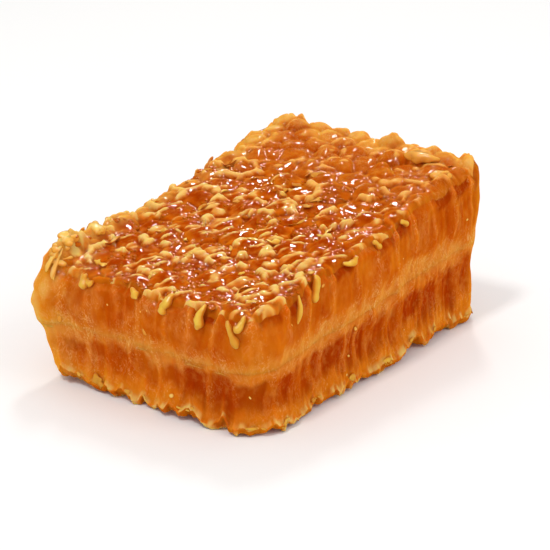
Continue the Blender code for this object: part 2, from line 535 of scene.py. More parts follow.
@dataclass(frozen=True)
class Block:
    """The outline and the wedge that both layers and the midrib share.

    Places are worked out on a plain block round the origin; place() then moves them.
    """

    middle_x: float
    middle_y: float
    half_width: float
    half_length: float
    thin_end: float
    thick_end: float
    corners: tuple[float, ...] = (3.5 * MM, 3.5 * MM, 3.0 * MM, 5.5 * MM)  # +X+Y, round by +Z
    undercut: float = 2.8 * MM  # how much further in the -X side stands at the bottom
    undercut_to: float = 0.62  # share of the height where the undercut ends
    sway_depth: float = 0.45 * MM  # how far the knife strayed in slow waves
    bulge: float = 0.28 * MM  # slow unevenness of the cut
    lumps: float = 0.10 * MM
    fibre: float = 0.06 * MM  # fine upright streaks
    sag: float = 3.0 * MM  # how far the thin end's -X corner bulges, most at mid height
    sag_reach: float = 9.0 * MM  # how far from that corner the bulge ends
    sag_form: tuple[tuple[float, float], ...] = (
        (0.0, 0.0), (0.14, 0.55), (0.32, 0.9), (0.48, 1.0), (0.60, 0.85), (0.74, 0.3), (0.9, 0.0),
        (1.0, 0.0),
    )  # share of the sag at shares of the height
    seed: int = 21

    @classmethod
    def from_frame(cls) -> "Block":
        """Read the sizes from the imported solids.

        Returns:
            The block that fits them.
        """
        low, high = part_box("midrib")
        sway = 0.44 * MM
        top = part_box("upper_cells")[1].z
        half_length = (high.y - low.y) / 2.0 - sway
        half_width = 0.679 * half_length
        return cls(
            middle_x=high.x - sway - half_width,
            middle_y=(high.y + low.y) / 2.0,
            half_width=half_width,
            half_length=half_length,
            thin_end=0.68 * top,
            thick_end=top + 0.07 * MM,
        )

    def top_height(self, y: Array) -> Array:
        """Height of the uncut top: straight from the thin end to the thick end."""
        return self.thin_end + (self.thick_end - self.thin_end) * (y / self.half_length / 2.0 + 0.5)

    def corner_at(self, x: Array, y: Array) -> Array:
        """Find the radius of the outline's corner in a place's quarter.

        Args:
            x: places from the middle of the plain block.
            y: places from there.

        Returns:
            The radii.
        """
        back = np.where(x > 0.0, self.corners[0], self.corners[1])
        front = np.where(x > 0.0, self.corners[3], self.corners[2])
        return np.where(y > 0.0, back, front)

    def rim_of(self, s: Array, t: Array) -> tuple[Array, Array]:
        """Find the outline's point in a direction, and the way out there.

        Args:
            s: share of the half width; the larger of |s| and |t| is 1.
            t: share of the half length.

        Returns:
            Points on a rectangle with round corners, and unit vectors that point outwards.
        """
        straight = np.stack([s * self.half_width, t * self.half_length], axis=-1)
        corner = self.corner_at(s, t)[..., None]
        limit = np.array([self.half_width, self.half_length]) - corner
        inner = np.clip(straight, -limit, limit)
        out = unit(straight - inner)
        return inner + corner * out, out

    def edge_distance(self, x: Array, y: Array) -> Array:
        """Measure the distance to the outline.

        Args:
            x: places on the plain block.
            y: places on it.

        Returns:
            The distances, above 0 inside.
        """
        corner = self.corner_at(x, y)
        off_x = np.abs(x) - (self.half_width - corner)
        off_y = np.abs(y) - (self.half_length - corner)
        beyond = np.hypot(np.maximum(off_x, 0.0), np.maximum(off_y, 0.0))
        return corner - beyond - np.minimum(np.maximum(off_x, off_y), 0.0)

    def wander(self, x: Array, y: Array, z: Array) -> tuple[Array, Array, Array, Array]:
        """How far the cut strayed from the plain outline.

        Three slow waves of the knife, plus slow bulges, lumps, and fine upright streaks. At one
        corner the comb sagged before it was cut, most at mid height.

        Args:
            x: places on the outline.
            y: places on the outline.
            z: heights.

        Returns:
            The distance, and the three noises that it is made of, slow, middle and fine.
        """
        here = np.stack(np.broadcast_arrays(x, y, z), axis=-1)
        slow = ripple(here, 3.4 * MM, self.seed, 2)
        middle = ripple(here * np.array([1.0, 1.0, 0.45]), 1.3 * MM, self.seed + 1, 2)
        streak = ripple(here * np.array([1.0, 1.0, 0.14]), 0.55 * MM, self.seed + 2)
        waves = (
            0.5 * np.sin(210.0 * y + 1.3 + 60.0 * z)
            + 0.4 * np.sin(330.0 * x - 0.7 + 90.0 * z)
            + 0.3 * np.sin(520.0 * (x + y) + 2.1)
        )
        to_corner = np.hypot(x + self.half_width, y + self.half_length)
        near = np.maximum(0.0, 1.0 - to_corner / self.sag_reach)
        swell = eased(self.sag_form, np.clip(z / self.top_height(y), 0.0, 1.0))
        push = self.sway_depth * waves + self.bulge * slow + self.lumps * middle
        return push + self.sag * swell * near**2 + self.fibre * streak, slow, middle, streak

    def place(self, points: Array) -> Array:
        """Move places of the plain block to where they lie.

        The -X half is squeezed towards the bottom, x times 1 - undercut / half width times the
        share of the way down to the power 1.5, and everything moves to the middle of the solids.

        Args:
            points: places on the plain block.

        Returns:
            Where they lie.
        """
        x, y, z = points[..., 0], points[..., 1], points[..., 2]
        down = np.maximum(0.0, 1.0 - z / (self.undercut_to * self.top_height(y)))
        squeezed = x * (1.0 - self.undercut / self.half_width * down**1.5)
        x = np.where(x < 0.0, squeezed, x) + self.middle_x
        return np.stack([x, y + self.middle_y, z], axis=-1)


# Materials


def linear(colour: str) -> tuple[float, float, float, float]:
    """Turn an sRGB hex colour into a linear one.

    Args:
        colour: a # and six hex digits.

    Returns:
        Red, green, blue and an alpha of 1.
    """
    parts = [int(colour[place : place + 2], 16) / 255.0 for place in (1, 3, 5)]
    curve = [part / 12.92 if part <= 0.04045 else ((part + 0.055) / 1.055) ** 2.4 for part in parts]
    return curve[0], curve[1], curve[2], 1.0


def add_node(
    tree: bpy.types.NodeTree,
    kind: str,
    settings: dict[Any, Any] | None = None,
    links: dict[Any, Socket] | None = None,
) -> bpy.types.Node:
    """Add a node, set it up and link it.

    Args:
        tree: the node tree.
        kind: the node's type.
        settings: its properties by name, or its inputs by name or number.
        links: the sockets that feed its inputs, by name or number.

    Returns:
        The node.
    """
    node = tree.nodes.new(kind)
    properties = {key: value for key, value in (settings or {}).items()
                  if isinstance(key, str) and key not in node.inputs}
    for key, value in properties.items():
        setattr(node, key, value)
    for key, value in (settings or {}).items():
        if key not in properties:
            node.inputs[key].default_value = value
    for key, socket in (links or {}).items():
        tree.links.new(socket, node.inputs[key])
    return node


def blend(
    tree: bpy.types.NodeTree,
    share: Socket,
    first: Any,
    second: Any,
) -> Socket:
    """Mix two colours, each a hex value or a socket, by a share.

    Args:
        tree: the node tree.
        share: 0 gives the first colour and 1 the second.
        first: hex value or socket.
        second: hex value or socket.

    Returns:
        The socket of the mixed colour.
    """
    settings: dict[Any, Any] = {"data_type": "RGBA"}
    links: dict[Any, Socket] = {0: share}
    for place, colour in ((6, first), (7, second)):
        if isinstance(colour, str):
            settings[place] = linear(colour)
        else:
            links[place] = colour
    return add_node(tree, "ShaderNodeMix", settings, links).outputs[2]


class Shading:
    """A new material and its shader, with short ways to add what a finish needs."""

    def __init__(self, name: str) -> None:
        """Make the material.

        Args:
            name: its name.
        """
        self.material = bpy.data.materials.new(name)
        self.material.use_nodes = True
        self.tree = self.material.node_tree
        self.shader = self.tree.nodes["Principled BSDF"]

    def value(self, name: str) -> Socket:
        """Read one of the mesh's own per-point values."""
        return add_node(self.tree, "ShaderNodeAttribute", {"attribute_name": name}).outputs["Fac"]

    def blend(self, share: Socket, first: Any, second: Any) -> Socket:
        """Mix two colours, each a hex value or a socket, by a share."""
        return blend(self.tree, share, first, second)

    def spread(
        self, value: Socket, low: float, high: float, to_low: float = 0.0, to_high: float = 1.0
    ) -> Socket:
        """Stretch the numbers from low to high over to_low to to_high, and hold them there."""
        settings = {1: low, 2: high, 3: to_low, 4: to_high, "clamp": True}
        return add_node(self.tree, "ShaderNodeMapRange", settings, {0: value}).outputs[0]

    def speckle(self, size: float, tall: float, detail: float, bend: float = 0.0) -> Socket:
        """Make noise on the object's coordinates.

        Args:
            size: width of its blotches, in metres.
            tall: how many times as high they are as wide.
            detail: how many finer layers it has.
            bend: how far its blotches are bent.

        Returns:
            The socket of the noise, between 0 and 1.
        """
        place = add_node(self.tree, "ShaderNodeTexCoord").outputs["Object"]
        scale = (1.0 / size, 1.0 / size, 1.0 / (size * tall))
        scaled = add_node(self.tree, "ShaderNodeMapping", {"Scale": scale}, {"Vector": place})
        settings = {"Scale": 1.0, "Detail": detail, "Distortion": bend}
        links = {"Vector": scaled.outputs[0]}
        return add_node(self.tree, "ShaderNodeTexNoise", settings, links).outputs[0]

    def compute(self, operation: str, *parts: Any, clamp: bool = False) -> Socket:
        """Do one sum.

        Args:
            operation: the kind of sum.
            parts: its numbers or sockets, in order.
            clamp: whether to hold the result between 0 and 1.

        Returns:
            The socket of the result.
        """
        settings: dict[Any, Any] = {"operation": operation, "use_clamp": clamp}
        links: dict[Any, Socket] = {}
        for place, part in enumerate(parts):
            (links if isinstance(part, Socket) else settings)[place] = part
        return add_node(self.tree, "ShaderNodeMath", settings, links).outputs[0]

    def bump(self, height: Socket, strength: float, distance: float) -> Socket:
        """Roughen the surface by a height, up to distance metres."""
        settings = {"Strength": strength, "Distance": distance}
        return add_node(self.tree, "ShaderNodeBump", settings, {"Height": height}).outputs[0]

    def finish(self, settings: dict[str, Any]) -> bpy.types.Material:
        """Give the shader's inputs their numbers and sockets.

        Args:
            settings: them, by the input's name.

        Returns:
            The finished material.
        """
        for key, value in settings.items():
            if isinstance(value, Socket):
                self.tree.links.new(value, self.shader.inputs[key])
            else:
                self.shader.inputs[key].default_value = value
        return self.material


@dataclass(frozen=True)
class CombFinish:
    """Honey-filled comb: soft amber light inside, thin wax walls, wet where honey lies open."""

    honey: str = "#D26A0C"  # a full cell
    cloud: str = "#C05204"  # where the honey is clearer and light goes deeper
    deep: str = "#A03200"  # thick honey that light doesn't come back from; on the top also painted shade in hollows
    wall: str = "#DC8A36"  # a wax wall, with honey behind it
    pale: str = "#E0BC68"  # wax that stands clear of the honey; on the top also painted light on raised crests and along its edges
    painted_glow: str = "#E8941C"  # painted light: thin edges coloured as if light came through them from behind
    crumb: str = "#EDB56C"  # specks of wax that the knife smeared over the cut
    radius: tuple[float, float, float] = (1.0, 0.45, 0.18)  # red travels furthest in honey
    depth: float = 0.9 * MM
    rough: float = 0.10 * MM  # depth of the fine roughness

    def build(self, name: str) -> bpy.types.Material:
        """Make the material from the values wax, deep, glow, pale, grain and wet of the mesh.

        Args:
            name: the material's name.

        Returns:
            The material.
        """
        make = Shading(name)
        cloud = make.spread(make.speckle(3.4 * MM, 1.5, 3.0), 0.38, 0.62)
        ragged = make.compute("MULTIPLY_ADD", make.speckle(1.1 * MM, 1.2, 4.0), 1.1, -0.55)
        streaky = make.compute("MULTIPLY_ADD", make.speckle(0.55 * MM, 4.0, 3.0), 0.36, -0.18)
        uneven = make.compute("ADD", ragged, streaky)
        wax = make.compute("ADD", uneven, make.value("wax"), clamp=True)
        specks = make.spread(make.speckle(0.30 * MM, 1.5, 1.0), 0.56, 0.70)
        patch = make.spread(make.speckle(2.6 * MM, 1.3, 2.0), 0.36, 0.66, 0.15, 0.9)
        swirl = make.compute("SUBTRACT", make.speckle(2.1 * MM, 1.6, 2.0, 1.6), 0.5)
        wisps = make.spread(make.compute("ABSOLUTE", swirl), 0.035, 0.0, 0.0, 0.8)
        specks = make.compute("MULTIPLY", make.compute("MAXIMUM", specks, wisps), patch)
        specks = make.compute("MULTIPLY", specks, make.value("grain"))
        colour: Any = self.honey
        for share, over in (
            (cloud, self.cloud),
            (make.value("deep"), self.deep),
            (wax, self.wall),
            (make.value("painted_glow"), self.painted_glow),
            (make.value("pale"), self.pale),
            (specks, self.crumb),
        ):
            colour = make.blend(share, colour, over)
        wet = make.value("wet")
        dry = make.spread(wet, 0.2, 0.9, 1.0, 0.15)
        fine = make.compute("MULTIPLY", make.speckle(0.7 * MM, 1.8, 4.0), dry)
        return make.finish({
            "Base Color": colour,
            "Normal": make.bump(make.compute("MULTIPLY_ADD", specks, 0.35, fine), 0.6, self.rough),
            "Roughness": make.spread(wet, 0.0, 1.0, 0.46, 0.30),
            "IOR": 1.49,
            "Specular IOR Level": 0.0,  # the wet coat gives all the gloss
            "Coat Weight": make.spread(wet, 0.0, 0.9),
            "Coat IOR": 1.7,
            "Coat Roughness": 0.04,
            "Subsurface Weight": 1.0,
            "Subsurface Radius": self.radius,
            "Subsurface Scale": self.depth,
        })


@dataclass(frozen=True)
class WaxFinish:
    """Fresh beeswax: pale ochre, faintly translucent, with a soft sheen, honey at its foot and painted
    shade down its sides.
    """

    crest: str = "#EECA58"
    flank: str = "#E09A30"
    foot: str = "#C66A14"  # where it stands in honey; also painted shade on the sides and underside
    stained: str = "#CE7C2A"  # wax that honey has soaked
    radius: tuple[float, float, float] = (1.0, 0.9, 0.8)
    depth: float = 0.03 * MM  # small: light that went deep would be lost in the comb below
    roughness: float = 0.34
    coat: float = 0.5  # honey that wets it

    def build(self, name: str) -> bpy.types.Material:
        """Make the material; rise is 0 at the foot and 1 on the crest, tone 0 where it is stained.

        Args:
            name: the material's name.

        Returns:
            The material.
        """
        make = Shading(name)
        rise = make.value("rise")
        colour: Any = self.flank
        # Paler on top and darker orange down the sides: partly honey at the foot, partly painted light on
        # top and painted shade below.
        for share, over in (
            (make.spread(rise, 0.70, 0.99), self.crest),
            (make.spread(make.speckle(2.2 * MM, 1.0, 2.0), 0.42, 0.66, 0.0, 0.7), self.flank),
            (make.spread(make.value("tone"), 1.0, 0.0), self.stained),
            (make.spread(rise, 0.80, 0.50, 0.0, 0.85), self.foot),
        ):
            colour = make.blend(share, colour, over)
        return make.finish({
            "Base Color": colour,
            "Normal": make.bump(make.speckle(0.8 * MM, 1.0, 3.0), 0.35, 0.08 * MM),
            "Roughness": self.roughness,
            "IOR": 1.44,
            "Specular IOR Level": 0.4,
            "Coat Weight": self.coat,
            "Coat IOR": 1.65,
            "Coat Roughness": 0.07,
            "Subsurface Weight": 1.0,
            "Subsurface Radius": self.radius,
            "Subsurface Scale": self.depth,
        })


@dataclass(frozen=True)
class HoneyFinish:
    """Clear amber honey in drops and beads, with a mirror-smooth skin."""

    thin: str = "#CE6C14"
    thick: str = "#BE5608"
    depth: float = 0.02 * MM

    def build(self, name: str) -> bpy.types.Material:
        """Make the material; the value rise is 0 at the foot of a drop and 1 on top.

        Args:
            name: the material's name.

        Returns:
            The material.
        """
        make = Shading(name)
        rise = make.spread(make.value("rise"), 0.5, 1.0)
        return make.finish({
            "Base Color": make.blend(rise, self.thin, self.thick),
            "Roughness": 0.05,
            "IOR": 1.49,
            "Coat Weight": 1.0,
            "Coat IOR": 1.7,
            "Coat Roughness": 0.03,
            "Subsurface Weight": 1.0,
            "Subsurface Radius": (1.0, 0.4, 0.1),
            "Subsurface Scale": self.depth,
        })


# The comb


@dataclass(frozen=True)
class Relief:
    """What a face of open cells is like at each place."""

    height: Array  # over the plain face
    wax: Array  # 1 on the crest of a rim
    deep: Array  # 1 over the thickest honey
    open: Array  # 1 in a cell that the knife opened
    wet: Array  # 1 where honey lies open


@dataclass(frozen=True)
class Cut:
    """What a cut side is like at each place."""

    push: Array  # how far it stands out from the plain outline
    line: Array  # 1 on the thin wax wall between two cells
    inside: Array  # 1 in the middle of a cell
    tone: Array  # each cell's own number from 0 to 1
    reach: Array  # another one
    slow: Array  # three noises, from wide to narrow
    middle: Array
    streak: Array


@dataclass(frozen=True)
class CellEnds:
    """The relief of a face where cells stand open, seen square on."""

    lattice: Lattice
    fill: float = -0.70 * MM  # the honey's usual level at a wall
    fill_spread: float = 0.30 * MM  # how unevenly the cells are filled
    dome: float = 0.58 * MM  # how far the honey bulges in the middle of a cell
    pucker: float = 0.34 * MM  # small lumps in the honey's skin
    rim: float = 0.45 * MM  # how far the torn rims rise over the honey
    wall_from: float = 0.62  # the rim starts at this share of the way to the wall
    torn_from: float = 0.05  # rims stand where slow noise is above this
    warp: float = 0.5 * MM  # how far the hexagons are bent
    seed: int = 7

    def relief(self, x: Array, y: Array) -> Relief:
        """Work out the relief.

        Each cell's honey is a dome, (1 - radius²) high, on a level of its own. Along the walls
        the torn rim rises over it: a ridge, cut into pieces where slow noise is low.

        Args:
            x: places in metres.
            y: places in metres.

        Returns:
            The relief there.
        """
        flat = flat_at(x, y)
        bent = [one + self.warp * ripple(flat, 2.3 * MM, self.seed + more)
                for one, more in ((x, 5), (y, 6))]
        spots = self.lattice.locate(*bent)
        level = 2.0 * spots.own(self.seed) - 1.0
        swell = 0.6 + 0.8 * spots.own(self.seed + 1)
        honey = (
            self.fill
            + self.fill_spread * level
            + self.dome * swell * (1.0 - np.minimum(spots.radius, 1.1) ** 2)
            + self.pucker * ripple(flat, 1.8 * MM, self.seed + 2, 2)
        )
        torn = ripple(flat, 2.6 * MM, self.seed + 3, 2)
        piece = smoothstep(self.torn_from, self.torn_from + 0.4, torn)
        wide = self.wall_from + 0.20 * (1.0 - piece) + 0.08 * ripple(flat, 1.1 * MM, self.seed + 4)
        wall = smoothstep(wide, wide + 0.18, spots.reach) * piece
        crest = wall * (0.5 + 0.5 * smoothstep(wide + 0.08, 1.0, spots.reach))
        height = honey * (1.0 - 0.75 * wall) + self.rim * crest * (0.65 + 0.35 * torn)
        depth = smoothstep(1.05, 0.35, spots.radius) * (0.55 + 0.45 * swell / 1.4)
        opened = smoothstep(0.85, 0.5, spots.reach) * (spots.own(self.seed + 8) > 0.35)
        return Relief(height, crest, depth * (1.0 - crest), opened, smoothstep(0.35, 0.05, crest))


@dataclass
class CombLayer:
    """One layer of cells: an open face with relief, cut sides, and a flat inner end."""

    name: str
    node: str
    block: Block
    lattice: Lattice
    facing: Facing
    ends: CellEnds
    profile: tuple[tuple[float, float], ...]  # how far a side stands out, from its inner end
    flute: float = 0.12 * MM  # how far the honey sinks between two cut walls
    sink: float = 0.0  # how far the plain open face lies inside the solid's
    columns: int = 170
    lines: int = 268
    side_rows: int = 50
    rounding: float = 0.8 * MM
    smear: float = math.radians(58.0)  # the way in which the knife drew the wax
    lumps: Lattice = Lattice(0.4 * MM, 0.7 * MM, 4.3 * MM)  # the round lumps at the thick end
    lump_rise: float = 1.9 * MM
    swell: float = 0.8 * MM  # how far the upper layer swells out at its -X -Y corner
    swell_reach: float = 11.0 * MM
    notch: float = 0.75 * MM  # how deep an open cell notches the upper edge
    tooth: float = 1.4 * MM  # how deep the lower rim is torn
    tooth_splay: float = 0.28 * MM  # how unevenly that rim stands out
    tuck: tuple[float, ...] = (0.70 * MM, 0.45 * MM, 0.2 * MM)  # rows past the midrib, sinking in

    @property
    def upper(self) -> bool:
        """Whether the cells open upwards."""
        return self.facing is Facing.UP

    def open_level(self, x: Array, y: Array) -> Array:
        """Find the height of the plain open face.

        On top, lumps rise towards the far end and one corner, and a ridge along the near half
        of the -X edge.

        Args:
            x: places in metres.
            y: places in metres.

        Returns:
            The heights.
        """
        if not self.upper:
            return np.zeros_like(y)
        flat = flat_at(x, y)
        far = smoothstep(8.0 * MM, 27.0 * MM, y)
        lumps = far * (0.1 + 0.35 * ripple(flat, 7.0 * MM, 81))
        left = x + self.block.half_width
        ridge = smoothstep(4.0 * MM, 1.2 * MM, left) * smoothstep(-4.0 * MM, -22.0 * MM, y)
        near = smoothstep(-12.0 * MM, -26.0 * MM, y)
        ridge = ridge + 1.5 * smoothstep(4.4 * MM, 2.4 * MM, left) * near
        ridge = ridge * (0.75 + 0.55 * ripple(flat, 2.0 * MM, 90, 2))
        corner = np.hypot(x - self.block.half_width, y - self.block.half_length)
        spike = smoothstep(3.0 * MM, 1.0 * MM, corner) - 0.7 * smoothstep(
            1.6 * MM, 0.0, np.abs(corner - 4.2 * MM)
        )
        slow = ripple(flat, 9.0 * MM, 82)
        rise = (0.95 * lumps + 0.8 * spike + 0.25 * slow + 1.3 * ridge) * MM
        return self.block.top_height(y) - self.sink + rise

    def outer(self, x: Array, y: Array, edge: Array) -> tuple[Array, Relief]:
        """Height of the open face, rounded off and notched towards the outline.

        Args:
            x: places in metres.
            y: places in metres.
            edge: distance to the outline.

        Returns:
            The height and the relief.
        """
        relief = self.ends.relief(x, y)
        if self.upper:
            relief = self.smeared(x, y, relief)
        inward = np.maximum(self.rounding - edge, 0.0)
        drop = self.rounding - np.sqrt(np.maximum(self.rounding**2 - inward**2, 0.0))
        border = smoothstep(2.2 * MM, 0.2 * MM, edge)
        height = relief.height - drop
        if self.upper:
            height = height - self.notch * border * relief.open
        else:
            teeth = np.clip(ripple(flat_at(x, y), 1.5 * MM, 83, 3) + 0.15, 0.0, 1.0)
            height = np.minimum(height - self.tooth * border * teeth, 0.0)
        return self.open_level(x, y) + self.facing.value * height, relief

    def smeared(self, x: Array, y: Array, relief: Relief) -> Relief:
        """Lay flakes of wax over the open face, all drawn out one way by the knife.

        A flake stands where noise is high that is stretched along the knife's way; towards the
        thick end the flakes are rounder and soaked.

        Args:
            x: places in metres.
            y: places in metres.
            relief: the relief without them.

        Returns:
            The relief with them.
        """
        way = self.smear
        here = flat_at(x * math.cos(way) + y * math.sin(way), y * math.cos(way) - x * math.sin(way))
        bend = 0.6 * MM * ripple(here, 4.0 * MM, 85)
        here = here + flat_at(bend, bend)
        far = smoothstep(0.0, 20.0 * MM, y)
        long = ripple(here, (2.6 * MM, 0.80 * MM, 1.0), 86, 2)
        round_one = ripple(here, (1.9 * MM, 1.3 * MM, 1.0), 87, 2)
        patch = 0.16 * ripple(here, 5.0 * MM, 88)
        flake = smoothstep(0.28, 0.64, mix(long, round_one, 0.8 * far) + patch - 0.12 * far)
        end = smoothstep(10.0 * MM, 25.0 * MM, y)
        rise = flake * (0.22 + 0.08 * round_one) * MM * (1.0 - 0.6 * end)
        bent = 0.9 * MM * ripple(here, 3.0 * MM, 91)
        spots = self.lumps.locate(x + bent, y - bent)
        lump = end * (0.30 + 0.70 * spots.own(92)) * np.sqrt(np.maximum(0.0, 1.0 - 0.85 * spots.radius**2))
        soaked = smoothstep(0.45, 0.85, spots.own(93))
        return replace(
            relief,
            height=mix(relief.height, self.ends.fill * 0.8, 0.8 * end) + rise
            + self.lump_rise * lump,
            wax=np.maximum(relief.wax, np.maximum(flake * (0.75 + 0.25 * patch / 0.16),
                                                  0.8 * end * soaked * lump)),
            deep=relief.deep * (1.0 - flake) * (1.0 - 0.7 * end),
            wet=relief.wet * (1.0 - 0.7 * smoothstep(0.25, 0.7, flake * (1.0 - 0.5 * far)))
            * (1.0 - 0.75 * end),
        )

    def stand(self, x: Array, y: Array, z: Array, share: Array) -> Cut:
        """Describe the cut side: how far it stands out, and which part of a cell shows there.

        Args:
            x: places on the plain outline.
            y: places on the plain outline.
            z: heights.
            share: 0 at the inner end and 1 at the open end.

        Returns:
            The cut at those places.
        """
        here = np.stack(np.broadcast_arrays(x, y, z), axis=-1)
        lean = 0.5 * MM * ripple(here, 6.0 * MM, self.ends.seed + 40)
        spots = self.lattice.locate(x + lean, y + lean)
        tone, reach = spots.own(self.ends.seed + 41), spots.own(self.ends.seed + 42)
        push, slow, middle, streak = self.block.wander(x, y, z)
        fuzzy = spots.reach + 0.06 * middle + 0.05 * streak
        broken = ripple(here * np.array([1.0, 1.0, 0.6]), 2.2 * MM, self.ends.seed + 43, 2)
        line = smoothstep(0.80, 0.97, fuzzy) * smoothstep(-0.25, 0.55, broken)
        inside = smoothstep(0.95, 0.70, fuzzy)
        away = smoothstep(0.02, 0.16, share)
        out = push + eased(self.profile, share)
        out = out + self.flute * away * (0.2 * line - inside * (0.2 + 0.8 * tone))
        if self.upper:
            to_corner = np.hypot(x + self.block.half_width, y + self.block.half_length)
            near = np.maximum(0.0, 1.0 - to_corner / self.swell_reach)
            out = out + self.swell * (near * 4.0 * share * (1.0 - share))
        else:
            ragged = ripple(here * np.array([1.0, 1.0, 0.3]), 1.7 * MM, 84, 2)
            out = out + self.tooth_splay * smoothstep(0.8, 1.0, share) * ragged
        return Cut(out, line, inside, tone, reach, slow, middle, streak)

    def on_side(self, turn: Array, share: Array) -> tuple[Array, Array]:
        """Find places on the cut side.

        Args:
            turn: share of the way round the outline.
            share: 0 at the inner end and 1 at the open end.

        Returns:
            The places on the plain block, and the way out there.
        """
        rim, out = self.block.rim_of(*square_walk(turn))
        end = self.outer(rim[:, 0], rim[:, 1], np.zeros(len(rim)))[0]
        base = self.block.top_height(rim[:, 1]) / 2.0
        z = mix(base, end, share)
        push = self.stand(rim[:, 0], rim[:, 1], z, share).push
        places = np.concatenate([rim + out * push[:, None], z[:, None]], axis=1)
        return places, np.concatenate([out, np.zeros((len(out), 1))], axis=1)

    def surface(self) -> Surface:
        """Build the closed surface of the layer.

        The open face is a grid whose lines bend into the round corners. The rows of the sides
        run from the inner end to the grid's border, and a fan closes the inner end.

        Returns:
            The surface, with the values that the comb finish reads.
        """
        s, t = np.meshgrid(np.linspace(-1.0, 1.0, self.columns + 1),
                           np.linspace(-1.0, 1.0, self.lines + 1))
        middle = np.maximum(np.maximum(np.abs(s), np.abs(t)), 1e-9)
        rim, out = self.block.rim_of(s / middle, t / middle)
        plain = rim * middle[..., None]
        edge = self.block.edge_distance(plain[..., 0], plain[..., 1])
        z, relief = self.outer(plain[..., 0], plain[..., 1], edge)
        rim_z, rim_relief = self.outer(rim[..., 0], rim[..., 1], np.zeros_like(middle))
        push = self.stand(rim[..., 0], rim[..., 1], rim_z, np.ones_like(middle)).push
        fade = smoothstep(2.6 * MM, 0.0, edge)
        place = plain + out * (push * fade)[..., None]
        face = np.concatenate([place, z[..., None]], axis=-1)

        number = np.arange((self.columns + 1) * (self.lines + 1)).reshape(s.shape)
        border = np.concatenate([number[0, :-1], number[:-1, -1], number[-1, :0:-1], number[:0:-1, 0]])
        rim_at = rim.reshape(-1, 2)[border]
        out_at = out.reshape(-1, 2)[border]
        top = rim_z.reshape(-1)[border]
        base = self.block.top_height(rim_at[:, 1]) / 2.0
        tuck = np.array(self.tuck)
        rows = self.side_rows - len(tuck)
        share = np.concatenate([np.zeros(len(tuck)), np.arange(rows) / rows])[:, None]
        sunk = np.concatenate([tuck, np.zeros(rows)])[:, None]
        side_z = base + (top - base) * share - self.facing.value * sunk
        share = np.broadcast_to(share, side_z.shape)
        wide_x, wide_y = (np.broadcast_to(rim_at[:, axis], side_z.shape) for axis in (0, 1))
        cut = self.stand(wide_x, wide_y, side_z, share)
        push = cut.push - 0.12 * sunk
        side = np.stack([wide_x + out_at[:, 0] * push, wide_y + out_at[:, 1] * push, side_z], axis=-1)

        around = len(border)
        centre = float(self.block.top_height(np.array(0.0))) / 2.0
        hub = np.array([[0.0, 0.0, centre - self.facing.value * tuck[0]]])
        points = np.concatenate([face.reshape(-1, 3), side.reshape(-1, 3), hub])
        start = number.size
        face_quads = grid_quads(self.lines + 1, self.columns + 1, closed=False)
        side_quads = grid_quads(self.side_rows, around, closed=True) + start
        last = start + (self.side_rows - 1) * around + np.arange(around)
        seam = np.stack([last, np.roll(last, -1), np.roll(border, -1), border], axis=-1)
        first = start + np.arange(around)
        fan = np.stack([np.roll(first, -1), first, np.full(around, len(points) - 1)], axis=-1)
        faces = [face_quads, side_quads, seam, fan]
        if not self.upper:
            faces = [block[:, ::-1] for block in faces]
        opened = np.broadcast_to(rim_relief.open.reshape(-1)[border], share.shape)
        on_face = self.face_values(relief, edge, face)
        on_side = self.side_values(cut, share, opened, side[..., 0])
        values = {key: np.concatenate([on_face[key].reshape(-1), on_side[key].reshape(-1), [0.0]])
                  for key in on_side}
        return Surface(self.block.place(points), faces, self.near_corners(points, values))

    def side_values(self, cut: Cut, share: Array, opened: Array, x: Array) -> dict[str, Array]:
        """Work out the shares that the comb finish mixes its colours by, on the cut sides.

        Args:
            cut: the cut there.
            share: 0 at the inner end of a side and 1 at its open end.
            opened: 1 under a cell that the knife opened.
            x: places; the lower layer's +X half is redder and smoother.

        Returns:
            The values wax, deep, glow, pale, grain and wet.
        """
        slow, middle = cut.slow, cut.middle
        band = smoothstep(0.34, 0.02, share + 0.16 * slow + 0.10 * middle)
        haze = smoothstep(0.15, 0.9, slow)
        if self.upper:
            mouth = opened * smoothstep(0.78, 0.93, share + 0.05 * middle)
            clear = cut.inside * smoothstep(0.20, 0.42, share + 0.08 * slow)
            return {
                "wax": 0.26 * cut.line + 0.62 * band + 0.22 * haze - 0.3 * mouth,
                "deep": clear * (0.05 + 0.36 * cut.tone) + 0.85 * mouth,
                # painted light over the midrib band
                "painted_glow": 0.12 * band,
                "pale": 0.16 * band * smoothstep(0.2, 0.9, middle),
                "grain": 0.50 + 0.10 * band + 0.3 * haze - 0.45 * clear,
                "wet": 0.9 * mouth + 0.05 + 0.25 * smoothstep(0.0, 0.8, middle) * (1.0 - band),
            }
        right = smoothstep(0.0, 8.0 * MM, x)
        start = 0.05 + 0.16 * cut.reach
        stop = mix(0.44, 0.66, right) + 0.22 * (cut.tone - 0.5)
        waved = share + 0.08 * slow + 0.03 * middle
        red = smoothstep(start, start + 0.12, waved) * smoothstep(stop + 0.18, stop - 0.04, waved)
        clear = red * mix(cut.inside, 0.35 + 0.65 * cut.inside, right)
        foot = smoothstep(0.86, 0.97, share)
        return {
            "wax": 0.24 * cut.line * (1.0 - 0.3 * right) + mix(0.58, 0.4, right) * band
            + 0.20 * haze * (1.0 - clear) * (1.0 - right),
            "deep": clear * (mix(0.30, 0.50, right) + 0.40 * cut.reach) + 0.30 * right * red,
            # painted light: the bottom of the lower layer coloured as if light came through
            "painted_glow": mix(0.50, 0.30, right) * smoothstep(0.50, 1.0, share + 0.1 * slow),
            "pale": 0.85 * foot * np.clip(0.15 + 1.2 * middle + 0.8 * cut.streak, 0.0, 1.0),
            "grain": (0.45 + 0.15 * band + 0.35 * haze - 0.4 * clear) * (1.0 - 0.35 * right),
            "wet": (0.03 + 0.25 * smoothstep(0.1, 0.8, middle) * cut.inside) * (1.0 - 0.9 * right),
        }

